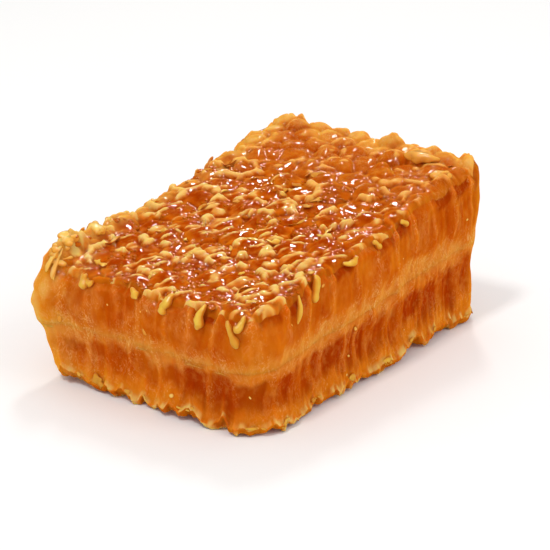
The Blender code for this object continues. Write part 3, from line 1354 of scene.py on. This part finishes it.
    def face_values(self, relief: Relief, edge: Array, face: Array) -> dict[str, Array]:
        """Work out the same shares for the open face.

        Args:
            relief: the relief of the open face.
            edge: distance to the outline there.
            face: places on the plain block.

        Returns:
            The values wax, deep, glow, pale, grain and wet.
        """
        y = face[..., 1]
        far = smoothstep(-4.0 * MM, 16.0 * MM, y)
        end = smoothstep(6.0 * MM, 22.0 * MM, y)
        # Colour follows the local relief: raised wax paler and sunken places deeper honey, partly real
        # bare wax and thick honey, partly painted light on crests and painted shade in hollows.
        proud = relief.height - smoothed(relief.height, 4)
        crest = smoothstep(0.0, 0.24 * MM, proud)
        sunk = smoothstep(0.02 * MM, -0.20 * MM, proud) * (1.0 - 0.15 * far)
        wax = smoothstep(0.05, 0.6, relief.wax)
        thick = (1.0 - 0.25 * far) * 1.25 * relief.deep
        # painted light: along the outline of the top as if light came through the thin rim, and on crests
        # towards the far end
        rim = 0.25 * smoothstep(1.6 * MM, 0.0, edge)
        values = {
            "wax": wax * (0.30 + 0.70 * crest) * (1.0 - 0.25 * far),
            "deep": np.maximum(thick, np.maximum(sunk, 0.72 * end)),
            "painted_glow": np.maximum(rim, 0.22 * far * (0.4 + 0.6 * crest)),
            "pale": (0.92 - 0.60 * far) * wax * crest,
            "grain": 0.3 * relief.wax * crest,
            "wet": np.maximum(relief.wet, (0.25 + 0.4 * (1.0 - crest)) * (1.0 - 0.8 * far)),
        }
        if self.upper:
            from_left = face[..., 0] + self.block.half_width
            near = smoothstep(16.0 * MM, -16.0 * MM, y)
            uneven = np.minimum(from_left, self.block.half_length - y)
            uneven = uneven + 1.6 * MM * ripple(face, 2.6 * MM, 99)
            # painted backlight along the near part of the -X edge and round the far edges: paler colour,
            # light coming through, and less dark honey
            painted_backlight = np.maximum(smoothstep(4.4 * MM, 1.2 * MM, from_left) * near,
                             smoothstep(6.5 * MM, 1.5 * MM, uneven) * far)
            pale = painted_backlight * (0.35 + 0.65 * crest) * (0.95 - 0.40 * far)
            values["pale"] = np.maximum(values["pale"], pale)
            values["painted_glow"] = np.maximum(values["painted_glow"], 0.80 * painted_backlight - 0.15 * far)
            values["deep"] = values["deep"] * (1.0 - 0.5 * painted_backlight)
            values["grain"] = values["grain"] + 0.35 * end + 0.2 * painted_backlight
        return values

    def near_corners(self, points: Array, values: dict[str, Array]) -> dict[str, Array]:
        """Paint light coming through the thin corners into the colour, and make the comb pale where it
        sagged.

        Args:
            points: all points of the layer, on the plain block.
            values: their colour shares.

        Returns:
            The shares with this added, held between 0 and 1.
        """
        half_width, half_length = self.block.half_width, self.block.half_length
        thin = np.hypot(points[:, 0] + half_width, points[:, 1] + half_length)
        flare = smoothstep(11.0 * MM, 2.0 * MM, thin) * (1.0 if self.upper else 0.45)
        mottle = ripple(points * np.array([1.0, 1.0, 0.6]), 1.7 * MM, 100, 3)
        added = {
            # painted light through the thin upright corners and the sagged corner
            "painted_glow": 0.40 * self.corner_share(points[:, 0], points[:, 1]) + 0.28 * flare,
            "pale": (0.18 + 0.40 * mottle) * flare,
            "grain": 0.35 * flare,
            "deep": 0.35 * flare * np.maximum(-mottle, 0.0),
        }
        return {key: np.clip(one + added.get(key, 0.0), 0.0, 1.0) for key, one in values.items()}

    def corner_share(self, x: Array, y: Array) -> Array:
        """Tell how near places are to an upright corner, where the comb is thin and gets painted light as
        if light came through.

        Args:
            x: places in metres.
            y: places in metres.

        Returns:
            1 at a corner and 0 away from it.
        """
        to_x = self.block.half_width - np.abs(x)
        to_y = self.block.half_length - np.abs(y)
        return smoothstep(5.5 * MM, 0.5 * MM, np.maximum(to_x, 0.0) + np.maximum(to_y, 0.0))

    def build(self, material: bpy.types.Material) -> bpy.types.Object:
        """Make the piece that stands for the layer's solid."""
        return settle(self.surface(), self.name, material, Slot.COMB, self.node)


@dataclass
class Midrib:
    """The wax sheet between the layers, which shows as a soft pale band at the cut."""

    block: Block
    thickness: float = 1.5 * MM
    edge: float = 0.5 * MM  # how deep its edge is rounded
    around: int = 620
    rows: int = 11

    def surface(self) -> Surface:
        """Build a slab with a rounded edge: rings from the middle below to the middle above.

        Returns:
            The closed surface.
        """
        s, t = square_walk(np.arange(self.around) / self.around)
        rim, out = self.block.rim_of(s, t)
        tilt = np.linspace(-math.pi / 2.0, math.pi / 2.0, self.rows)[:, None]
        middle = self.block.top_height(rim[:, 1]) / 2.0
        here = np.concatenate([rim, middle[:, None]], axis=1)
        wave = 0.16 * MM * ripple(here, 2.5 * MM, 51, 2)
        z = middle + 0.5 * self.thickness * np.sin(tilt) + wave
        push, slow, lumps, streak = self.block.wander(rim[:, 0], rim[:, 1], z)
        push = push + self.edge * (np.cos(tilt) - 1.0) + MM * (0.07 * lumps + 0.06 * streak - 0.02)
        ring = np.stack([rim[:, 0] + out[:, 0] * push, rim[:, 1] + out[:, 1] * push, z], axis=-1)
        centre = float(self.block.top_height(np.array(0.0))) / 2.0
        hubs = np.array([[0.0, 0.0, centre - self.thickness / 2.0],
                         [0.0, 0.0, centre + self.thickness / 2.0]])
        points = np.concatenate([ring.reshape(-1, 3), hubs])
        band = np.concatenate([(0.62 - 0.1 * slow).reshape(-1), [0.6, 0.6]])
        blank = np.zeros(len(points))
        # the sheet gets a faint painted light all over
        values = {"wax": band, "deep": blank, "painted_glow": blank + 0.12, "pale": blank,
                  "grain": blank + 0.5, "wet": blank + 0.25}
        closed = closed_shapes(self.block.place(points)[None], blank, self.around)
        return replace(closed, values=values)

    def build(self, material: bpy.types.Material) -> bpy.types.Object:
        """Make the piece that stands for the midrib's solid."""
        return settle(self.surface(), "midrib_sheet", material, Slot.WAX, "midrib")


@dataclass
class Scattered:
    """Small pieces of one kind on a layer, which make one mesh."""

    name: ClassVar[str]
    slot: ClassVar[Slot] = Slot.WAX
    layer: CombLayer

    @property
    def block(self) -> Block:
        """The outline and the wedge of the layer."""
        return self.layer.block

    def drape(
        self,
        rim: Array,
        out: Array,
        reach: tuple[Array, Array, Array],
        proud: tuple[Any, Any, Array],
        lift: Array,
    ) -> Array:
        """Lay paths over the upper edge: inwards on the top, then down the side.

        Args:
            rim: points of the outline, one for each path.
            out: the way out there.
            reach: how far each step lies inwards, down, and along the outline.
            proud: how far it stands off on the top and on the side, and the share of the side.
            lift: how far it is raised.

        Returns:
            The paths, as (number, steps, 3).
        """
        inward, down, aside = reach
        x = rim[:, :1] - out[:, :1] * inward - out[:, 1:] * aside
        y = rim[:, 1:] - out[:, 1:] * inward + out[:, :1] * aside
        top = self.layer.outer(x, y, np.maximum(self.block.edge_distance(x, y), 0.0))[0]
        push = self.layer.stand(x, y, top - down, np.full_like(x, 0.9)).push
        off = mix(proud[0], push + proud[1], proud[2])
        return np.stack([x + out[:, :1] * off, y + out[:, 1:] * off, top - down + lift], axis=-1)

    def surface(self) -> Surface:
        """Build all of them on the plain block; each kind has its own way."""
        raise NotImplementedError

    def build(self, material: bpy.types.Material) -> bpy.types.Object:
        """Build the surface, move it from the plain block to the comb, and make it a piece.

        Args:
            material: its finish.

        Returns:
            The piece.
        """
        surface = self.surface()
        surface.points = self.block.place(surface.points)
        return settle(surface, self.name, material, self.slot)


def leaning(out: Array, bend: Array) -> Array:
    """Turn from straight up to the way out of the side.

    Args:
        out: the way out, one for each path, along X and Y.
        bend: share of the turn, as (number, steps).

    Returns:
        Directions of length 1, as (number, steps, 3).
    """
    sideways = np.concatenate([out, np.zeros((len(out), 1))], axis=-1)[:, None, :]
    return unit(mix(UP, sideways, bend[..., None]))


@dataclass
class RimCurls(Scattered):
    """Torn rims of wax that lie over the open cells, each along a part of one cell's rim."""

    name = "rim_curls"
    steps: int = 16
    sides: int = 9
    places: int = 4  # how many each cell has room for
    share: float = 0.17  # of them that hold one
    drag: float = math.radians(148.0)  # most lie across this direction, as the knife dragged them
    bend: float = 0.45 * MM  # how far they wander from the rim
    seed: int = 5

    def surface(self) -> Surface:
        """Build all curls.

        Each follows its cell's hexagon, a quarter of the way to a circle: the radius is half the
        pitch over the cosine of the angle to the nearest flat. Its width swells and thins.

        Returns:
            One surface with all of them.
        """
        rng = np.random.default_rng(self.seed)
        block = self.block
        spare = 0.5 * MM
        middles = self.layer.lattice.middles(block.half_width + spare, block.half_length + spare)
        middles = np.repeat(middles, self.places, axis=0)
        middles = middles[rng.random(len(middles)) < self.share]
        number = len(middles)
        dragged = self.drag + math.pi * rng.integers(0, 2, number) + rng.normal(0.0, 0.5, number)
        centre = np.where(rng.random(number) < 0.8, dragged, rng.uniform(0.0, 2.0 * math.pi, number))
        span = (0.35 + 1.25 * rng.random(number)[:, None] ** 1.6)
        span = span * rng.choice([-1.0, 1.0], number)[:, None]
        share = np.linspace(0.0, 1.0, self.steps)[None, :]
        angle = centre[:, None] + span * (share - 0.5)
        half = self.layer.lattice.pitch / 2.0
        flat = np.mod(angle - math.pi / 2.0 + math.pi / 6.0, math.pi / 3.0) - math.pi / 6.0
        reach = np.where(rng.random(number) < 0.6, rng.uniform(0.86, 1.06, number),
                         rng.uniform(0.30, 0.86, number))
        radius = half * (0.75 / np.cos(flat) + 0.25 * 1.04) * reach[:, None]
        longer = 1.0 / np.maximum(reach[:, None], 0.55)
        angle = centre[:, None] + span * longer * (share - 0.5)
        x = middles[:, :1] + radius * np.cos(angle)
        y = middles[:, 1:] + radius * np.sin(angle)
        flat_place = flat_at(x, y)
        x, y = (one + self.bend * ripple(flat_place, 2.0 * MM, seed, 2)
                for one, seed in ((x, 61), (y, 62)))
        keep = block.edge_distance(x, y).min(axis=1) > -0.1 * MM
        x, y, share = x[keep], y[keep], np.broadcast_to(share, x.shape)[keep]
        z = self.layer.outer(x, y, np.maximum(block.edge_distance(x, y), 0.0))[0]
        few = rng.random(len(x)) > 0.75 * smoothstep(8.0 * MM, 24.0 * MM, y.mean(axis=1))
        few &= np.minimum(block.half_length - y, block.half_width + x).min(axis=1) > 1.0 * MM
        x, y, z, share = x[few], y[few], z[few], share[few]
        number = len(x)
        far = smoothstep(-4.0 * MM, 18.0 * MM, y.mean(axis=1))
        lean = rng.uniform(0.5, 2.0, number)[:, None]
        swell = np.sin(math.pi * np.clip(share, 0.03, 0.97) ** lean) ** 0.55
        beat = rng.uniform(0.8, 2.2, number)[:, None] * 2.0 * math.pi
        knob = 1.0 + 0.30 * np.sin(beat * share + rng.uniform(0.0, 6.3, number)[:, None])
        broad = (0.28 + 0.46 * rng.random(number)[:, None] ** 1.4) * MM * (1.0 - 0.15 * far[:, None])
        widths = broad * swell * knob
        heights = widths * rng.uniform(0.24, 0.46, number)[:, None] * (1.0 - 0.2 * far[:, None])
        lift = rng.uniform(-0.25, 0.0, number)[:, None] * MM * (1.0 - 0.3 * far[:, None])
        level = mix(z, z.mean(axis=1, keepdims=True), 0.4)
        plain = self.layer.open_level(x, y)
        level = mix(level, plain, 0.45)
        tip = 0.4 * MM * rng.uniform(-0.5, 0.8, number)[:, None] * (share - 0.5) * 2.0
        paths = np.stack([x, y, level + lift + np.maximum(tip, -0.2 * MM)], axis=-1)
        lying = np.stack([rng.normal(0.0, 0.5, number), rng.normal(0.0, 0.5, number),
                          np.ones(number)], axis=-1)
        outward = np.broadcast_to(unit(lying)[:, None, :], paths.shape)
        tone = np.clip(1.1 - 0.85 * far + rng.uniform(-0.6, 0.1, number), 0.0, 1.0)
        return tubes(paths, outward, widths, heights, self.sides, 0.42, 64, tone)


@dataclass
class EdgeGrains(Scattered):
    """Grains of wax that hang over the upper edges."""

    name = "edge_grains"
    steps: int = 16
    sides: int = 10
    spacing: float = 6.4 * MM
    lying: float = 0.28  # share of them that lie along the edge
    proud: float = 0.15 * MM  # how far they stand off the comb
    seed: int = 8

    def surface(self) -> Surface:
        """Build grains that run from the top down the side, or lie along the edge.

        Returns:
            One surface with all of them.
        """
        rng = np.random.default_rng(self.seed)
        block = self.block
        around = 4.0 * (block.half_width + block.half_length)
        number = int(around / self.spacing)
        turn = (np.arange(number) + rng.uniform(-0.9, 0.9, number)) / number
        rim, out = block.rim_of(*square_walk(turn))
        length = (1.5 + 2.0 * rng.random(number)[:, None] ** 1.4) * MM
        begin = rng.uniform(-1.5, 0.5, number)[:, None] * MM
        hidden = (out[:, :1] < -0.5) | (out[:, 1:] > 0.5)
        begin = np.where(hidden, np.maximum(begin, 0.0) + 0.3 * MM, begin)
        share = np.linspace(0.0, 1.0, self.steps)[None, :]
        along = begin + length * share
        inward = np.maximum(-along, 0.0)
        down = np.maximum(along, 0.0)
        slant = np.clip(rng.normal(0.0, 0.6, number), -0.9, 0.9)[:, None] * (along - begin)
        lies = rng.random(number)[:, None] < self.lying
        inward = np.where(lies, 0.1 * MM, inward)
        down = np.where(lies, (0.15 + 0.5 * share) * MM, down)
        slant = np.where(lies, 0.9 * length * (share - 0.5), slant)
        over = smoothstep(0.0, 0.6 * MM, down)
        paths = self.drape(rim, out, (inward, down, slant), (self.proud, self.proud, over),
                           0.30 * MM * smoothstep(0.5 * MM, 0.0, down))
        outward = leaning(out, np.where(lies, 0.6, smoothstep(-0.4 * MM, 0.8 * MM, along)))
        knob = 1.0 + 0.45 * np.exp(-((share - rng.uniform(0.5, 0.92, number)[:, None]) / 0.22) ** 2)
        widths = rng.uniform(0.36, 0.60, number)[:, None] * MM * knob
        widths = widths * np.sqrt(1.0 - np.abs(2.0 * np.clip(share, 0.02, 0.98) - 1.0) ** 4)
        far = smoothstep(0.0, 24.0 * MM, rim[:, 1])
        tone = np.clip(1.1 - 0.7 * far + rng.uniform(-0.5, 0.1, number), 0.0, 1.0)
        keep = rim[:, 0] < block.half_width - 4.0 * MM
        keep |= rim[:, 1] < block.half_length - 11.0 * MM
        keep &= (out[:, 0] > -0.5) | (rim[:, 1] > 2.0 * MM)
        paths, outward, widths = paths[keep], outward[keep], widths[keep]
        return tubes(paths, outward, widths, 0.8 * widths, self.sides, 0.25, 71, tone[keep])


@dataclass
class RimFlakes(Scattered):
    """Pale flakes of torn wall along the lower rim."""

    name = "rim_flakes"
    steps: int = 9
    sides: int = 10
    spacing: float = 5.5 * MM
    thick: float = 0.14 * MM
    seed: int = 12

    def surface(self) -> Surface:
        """Build flakes that lie flat on the side, with ragged outlines.

        Returns:
            One surface with all of them.
        """
        rng = np.random.default_rng(self.seed)
        block = self.block
        number = int(4.0 * (block.half_width + block.half_length) / self.spacing)
        turn = (np.arange(number) + rng.uniform(-1.2, 1.2, number)) / number
        rim, out = block.rim_of(*square_walk(turn))
        share = np.linspace(0.0, 1.0, self.steps)[None, :]
        length = (0.8 + 2.4 * rng.random(number)[:, None] ** 2) * MM
        tall = (0.30 + 0.50 * rng.random(number)[:, None] ** 2) * MM
        side_way = np.stack([-out[:, 1], out[:, 0]], axis=-1)
        x = rim[:, :1] + side_way[:, :1] * length * (share - 0.5)
        y = rim[:, 1:] + side_way[:, 1:] * length * (share - 0.5)
        rim_z = self.layer.outer(x, y, np.zeros_like(x))[0].mean(axis=1, keepdims=True)
        above = tall * rng.uniform(0.3, 1.2, number)[:, None]
        slope = 0.6 * length * rng.uniform(-0.6, 0.6, number)[:, None]
        z = rim_z + above + slope * (share - 0.5)
        push = self.layer.stand(x, y, z, np.full_like(z, 0.97)).push
        kick = rng.uniform(-0.12, 0.02, number)[:, None] * MM
        x = x + out[:, :1] * (push + kick)
        y = y + out[:, 1:] * (push + kick)
        paths = np.stack([x, y, z], axis=-1)
        outward = leaning(out, np.ones_like(x))
        full = np.sin(math.pi * np.clip(share, 0.05, 0.95)) ** 0.5
        widths = tall * full
        heights = np.broadcast_to(self.thick * full, widths.shape)
        tone = 0.4 + 0.6 * rng.random(number)
        return tubes(paths, outward, widths, heights, self.sides, 0.7, 91, tone)
        surface.points[:, 2] = np.maximum(surface.points[:, 2], 0.0)


@dataclass
class CornerFlare(Scattered):
    """Clear pale wax that the knife drew out at one upper corner: a chain of lumps, and drips."""

    name = "corner_flare"
    number: int = 7
    lumps: int = 30
    steps: int = 14
    sides: int = 10
    reach: tuple[float, float] = (3.5 * MM, 19.0 * MM)  # along the -Y edge and along the -X edge
    seed: int = 14

    def surface(self) -> Surface:
        """Build lumps, and drips that bend over the edge and hang down.

        Returns:
            One surface with all of them.
        """
        rng = np.random.default_rng(self.seed)
        block = self.block
        along = rng.random(self.number) ** 1.3
        behind = rng.random(self.number) < 0.7
        leg = np.where(behind, -self.reach[1] / block.half_length, self.reach[0] / block.half_width)
        turn = along * leg / 8.0
        rim, out = block.rim_of(*square_walk(turn))
        share = np.linspace(0.0, 1.0, self.steps)[None, :]
        big = (1.0 - 0.65 * along)[:, None]
        length = (1.6 + 3.0 * rng.random(self.number)[:, None]) * big * MM
        begin = -rng.uniform(0.4, 1.8, self.number)[:, None] * MM
        way = begin + (length - begin) * share
        inward, down = np.maximum(-way, 0.0), np.maximum(way, 0.0)
        slant = rng.normal(0.0, 0.25, self.number)[:, None] * (way - begin)
        bend = smoothstep(-0.3 * MM, 0.9 * MM, way)
        paths = self.drape(rim, out, (inward, down, slant), (0.1 * MM, 0.10 * MM * big, bend),
                           0.45 * MM * big * smoothstep(0.8 * MM, 0.0, down))
        outward = leaning(out, bend)
        knob = 1.0 + 0.18 * np.sin(5.0 * share + rng.uniform(0.0, 6.3, self.number)[:, None])
        widths = rng.uniform(0.35, 1.1, self.number)[:, None] * MM * knob * (0.4 + 0.6 * big)
        widths = widths * np.sin(math.pi * np.clip(share, 0.05, 0.95)) ** 0.4
        tone = np.clip(1.2 - 0.5 * along + rng.uniform(-0.3, 0.1, self.number), 0.0, 1.0)
        drips = tubes(paths, outward, widths, 0.35 * widths, self.sides, 0.3, 95, tone)

        place = np.arange(self.lumps) / (self.lumps - 1.0)
        first, last = self.reach[0] / block.half_width, self.reach[1] / block.half_length
        rim, out = block.rim_of(*square_walk(first / 8.0 - place * ((first + last) / 8.0)))
        big = (np.sin(math.pi * np.clip(0.12 + 0.80 * place, 0.0, 1.0)) ** 0.7)[:, None]
        near = rim - out * rng.uniform(0.3, 2.4, self.lumps)[:, None] * MM
        top = self.layer.outer(near[:, 0], near[:, 1], np.full(self.lumps, 0.9 * MM))[0]
        middles = np.concatenate([near, top[:, None] - 0.62 * MM], axis=1)
        middles[:, 2] += 0.4 * MM * rng.uniform(-1.0, 0.4, self.lumps)
        radii = big * rng.uniform((1.1, 0.7, 0.7), (2.4, 1.2, 0.9), (self.lumps, 3)) * MM
        turns = rng.uniform(0.0, 6.3, self.lumps)
        tone = rng.uniform(0.4, 1.0, self.lumps)
        lumps = blobs(middles, UP, radii, turns, (11, 18), 0.55, 98, tone)
        return joined(drips, lumps)


@dataclass
class SideFlecks(Scattered):
    """Small pale flecks of wall that stick to the cut sides."""

    name = "side_flecks"
    other: CombLayer  # the layer under this one
    number: int = 26  # on each layer
    seed: int = 18

    def surface(self) -> Surface:
        """Build flat blobs, longer along the side than they are thick.

        Returns:
            One surface with all of them.
        """
        rng = np.random.default_rng(self.seed)
        parts = [layer.on_side(rng.random(self.number), rng.uniform(0.04, 0.97, self.number) ** 0.8)
                 for layer in (self.layer, self.other)]
        middles, out = (np.concatenate(arrays) for arrays in zip(*parts))
        number = len(middles)
        broad = (0.12 + 0.30 * rng.random(number)[:, None] ** 2.5) * MM
        radii = broad * rng.uniform((0.9, 0.6, 0.3), (2.0, 1.3, 0.5), (number, 3))
        tone = rng.random(number)
        return blobs(middles, out, radii, rng.uniform(0.0, 6.3, number), (5, 10), 0.4, 96, tone)


@dataclass
class ClearDrops(Scattered):
    """Two lens-shaped drops of clear wax on the open face, near its thick end."""

    name = "clear_drops"
    from_right: tuple[float, ...] = (8.0 * MM, 2.8 * MM)
    from_end: tuple[float, ...] = (5.6 * MM, 9.2 * MM)
    long: tuple[float, ...] = (2.7 * MM, 1.8 * MM)
    way: float = math.radians(37.0)  # from +X, in which they are long
    sunk: float = 0.40 * MM
    tone: float = 0.3

    def surface(self) -> Surface:
        """Build drops that lie in the face, a little over half of each showing.

        Returns:
            One surface with all of them.
        """
        block = self.block
        x = block.half_width - np.array(self.from_right)
        y = block.half_length - np.array(self.from_end)
        around = np.linspace(-1.0, 1.0, 5) * MM
        tops = [self.layer.outer(x + off, y, np.full(2, 4.0 * MM))[0] for off in around]
        middles = np.stack([x, y, np.mean(tops, axis=0) - self.sunk], axis=-1)
        radii = np.array(self.long)[:, None] * np.array([1.0, 0.62, 0.34])
        turns = np.full(2, self.way - math.atan2(ASLANT[0], ASLANT[1]) + math.pi)
        return blobs(middles, UP, radii, turns, (13, 24), 0.5, 99, np.full(2, self.tone))


@dataclass
class HoneyBeads(Scattered):
    """Beads of honey in the open cells."""

    name = "honey_beads"
    slot = Slot.COMB
    tries: int = 420  # clusters to try
    each: int = 3  # beads in a cluster
    margin: float = 1.2 * MM  # from the edge of the top to the middle of a cluster
    until: float = 12.0 * MM  # no beads past this, where the comb is closed
    seed: int = 15

    def surface(self) -> Surface:
        """Build beads that lie where the rims leave the honey open.

        Returns:
            One surface with all of them.
        """
        rng = np.random.default_rng(self.seed)
        block = self.block
        x, y = (np.repeat(rng.uniform(-1.0, 1.0, self.tries) * (half - self.margin), self.each)
                for half in (block.half_width, block.half_length))
        x, y = (one + rng.normal(0.0, 0.45, one.shape) * MM for one in (x, y))
        edge = block.edge_distance(x, y)
        z, relief = self.layer.outer(x, y, np.maximum(edge, 0.0))
        keep = (relief.wax < 0.12) & (edge > 0.4 * MM) & (y < self.until)
        number = int(keep.sum())
        broad = (0.30 + 0.38 * rng.random(number) ** 1.7)[:, None] * MM
        middles = np.stack([x, y, z], axis=-1)[keep] - 0.32 * broad * UP
        flat = np.full((number, 1), 0.55)
        radii = broad * np.concatenate([rng.uniform(0.8, 1.2, (number, 2)), flat], axis=1)
        return blobs(middles, UP, radii, rng.uniform(0.0, 6.3, number), (5, 9), 0.06, 97)


def square_walk(turn: Array) -> tuple[Array, Array]:
    """Walk round the border of the square from -1 to 1.

    Args:
        turn: share of the way round, from 0 at the corner (-1, -1).

    Returns:
        The two coordinates, the larger of which is always 1 or -1.
    """
    place = np.mod(turn, 1.0) * 4.0
    leg = np.floor(place)
    along = 2.0 * (place - leg) - 1.0
    one = np.ones_like(along)
    s = np.select([leg == 0, leg == 1, leg == 2], [along, one, -along], -one)
    t = np.select([leg == 0, leg == 1, leg == 2], [-one, along, one], -along)
    return s, t


# Studio


def aim(made: bpy.types.Object, azimuth: float, elevation: float, away: float, target: Vector) -> None:
    """Hang a camera or a lamp and point it at the piece.

    Args:
        made: the camera or lamp.
        azimuth: where it hangs, in degrees from -Y towards +X.
        elevation: how high, in degrees.
        away: how far off, in metres.
        target: the point that it faces.
    """
    a, e = math.radians(azimuth), math.radians(elevation)
    back = Vector((math.sin(a) * math.cos(e), -math.cos(a) * math.cos(e), math.sin(e)))
    made.location = target + back * away
    made.rotation_euler = (-back).to_track_quat("-Z", "Y").to_euler()
    bpy.context.scene.collection.objects.link(made)


@dataclass(frozen=True)
class Lamp:
    """A rectangular light."""

    name: str
    azimuth: float
    elevation: float
    size: tuple[float, float]
    power: float
    glints: bool = True  # whether gloss reflects it; a big one would lay a veil over the honey
    away: float = 0.6

    def build(self, target: Vector) -> None:
        """Hang the light.

        Args:
            target: the point that it faces.
        """
        data = bpy.data.lights.new(self.name, "AREA")
        data.shape = "RECTANGLE"
        data.size, data.size_y = self.size
        data.energy = self.power
        made = bpy.data.objects.new(self.name, data)
        made.visible_glossy = self.glints
        aim(made, self.azimuth, self.elevation, self.away, target)


@dataclass(frozen=True)
class Studio:
    """Pale floor, soft white surroundings, and a camera that looks down on the near corner."""

    azimuth: float = 36.7
    elevation: float = 20.6
    distance: float = 0.268
    lens: float = 112.0
    surround: float = 0.72
    floor_reach: float = 4.0
    floor_colour: str = "#F4F4F3"
    amber: str = "#B8680C"
    lamps: tuple[Lamp, ...] = (
        Lamp("key_softbox", 0.0, 62.0, (0.07, 0.09), 1.05),
        Lamp("back_softbox", 212.0, 50.0, (0.06, 0.12), 0.64),
        Lamp("side_softbox", 100.0, 40.0, (0.20, 0.24), 0.6, glints=False),
    )

    def camera(self, target: Vector) -> None:
        """Make the camera.

        Args:
            target: the point that it looks at.
        """
        data = bpy.data.cameras.new("camera")
        data.lens = self.lens
        data.clip_start, data.clip_end = 0.01, 20.0
        made = bpy.data.objects.new("camera", data)
        aim(made, self.azimuth, self.elevation, self.distance, target)
        bpy.context.scene.camera = made

    def floor(self) -> None:
        """Make the floor: a wide matt white sheet."""
        far = self.floor_reach
        corners = [(-far, -far, 0.0), (far, -far, 0.0), (far, far, 0.0), (-far, far, 0.0)]
        mesh = bpy.data.meshes.new("floor")
        mesh.from_pydata(corners, [], [(0, 1, 2, 3)])
        settings = {"Base Color": linear(self.floor_colour), "Roughness": 0.9}
        mesh.materials.append(Shading("white_paper").finish(settings))
        made = bpy.data.objects.new("floor", mesh)
        made.visible_glossy = False  # its white would lay a veil over the cut sides
        bpy.context.scene.collection.objects.link(made)

    def world(self) -> None:
        """Make the surroundings: white light, but amber in the gloss, as next to more honeycomb."""
        world = bpy.data.worlds.new("white_room")
        bpy.context.scene.world = world
        world.use_nodes = True
        tree = world.node_tree
        ground = tree.nodes["Background"]
        glossy = add_node(tree, "ShaderNodeLightPath").outputs["Is Glossy Ray"]
        tree.links.new(blend(tree, glossy, "#FFFFFF", self.amber), ground.inputs["Color"])
        ground.inputs["Strength"].default_value = self.surround

    def build(self, target: Vector) -> None:
        """Set the whole scene up round the piece.

        Args:
            target: the middle of the piece.
        """
        bpy.context.scene.view_settings.view_transform = "Standard"
        self.floor()
        self.world()
        for lamp in self.lamps:
            lamp.build(target)
        self.camera(target)


def main() -> None:
    """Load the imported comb, build its pieces in order, and set up the studio."""
    logging.basicConfig(level=logging.INFO, format="%(name)s %(message)s")
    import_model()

    block = Block.from_frame()
    upper_cells = Lattice(*UPPER_CELL)
    lower_cells = Lattice(UPPER_CELL[0] + CELL_PITCH / ROOT3, UPPER_CELL[1])
    comb = CombFinish().build("honey_filled_comb")
    wax = WaxFinish().build("fresh_beeswax")
    clear_wax = WaxFinish(crest="#FFDC84", flank="#FBC25C", foot="#E89C34", stained="#E8A040",
                          roughness=0.26, coat=0.8).build("clear_beeswax")
    honey = HoneyFinish().build("clear_honey")

    upper = CombLayer(
        name="upper_comb",
        node="upper_cells",
        block=block,
        lattice=upper_cells,
        facing=Facing.UP,
        ends=CellEnds(upper_cells),
        profile=((0.0, 0.0), (0.45, 0.6 * MM), (0.88, 0.2 * MM), (1.0, -0.5 * MM)),
        sink=0.8 * MM,
    )
    lower = CombLayer(
        name="lower_comb",
        node="lower_cells",
        block=block,
        lattice=lower_cells,
        facing=Facing.DOWN,
        ends=CellEnds(lower_cells, fill=-0.7 * MM, dome=0.5 * MM, fill_spread=0.2 * MM, rim=0.3 * MM,
                      seed=17),
        profile=((0.0, 0.0), (0.5, -0.5 * MM), (0.91, 0.1 * MM), (1.0, 0.5 * MM)),
        flute=0.16 * MM,
    )
    upper.build(comb)
    lower.build(comb)
    Midrib(block).build(CombFinish(depth=0.2 * MM, radius=(1.0, 0.7, 0.4)).build("midrib_wax"))
    for scattered, finish in (
        (RimCurls(upper), wax),
        (EdgeGrains(upper), wax),
        (RimFlakes(lower), wax),
        (CornerFlare(upper), clear_wax),
        (SideFlecks(upper, lower), clear_wax),
        (ClearDrops(upper), clear_wax),
        (HoneyBeads(upper), honey),
    ):
        scattered.build(finish)

    Studio().build(Vector((0.0013, 0.0, 0.012)))


if __name__ == "__main__":
    main()
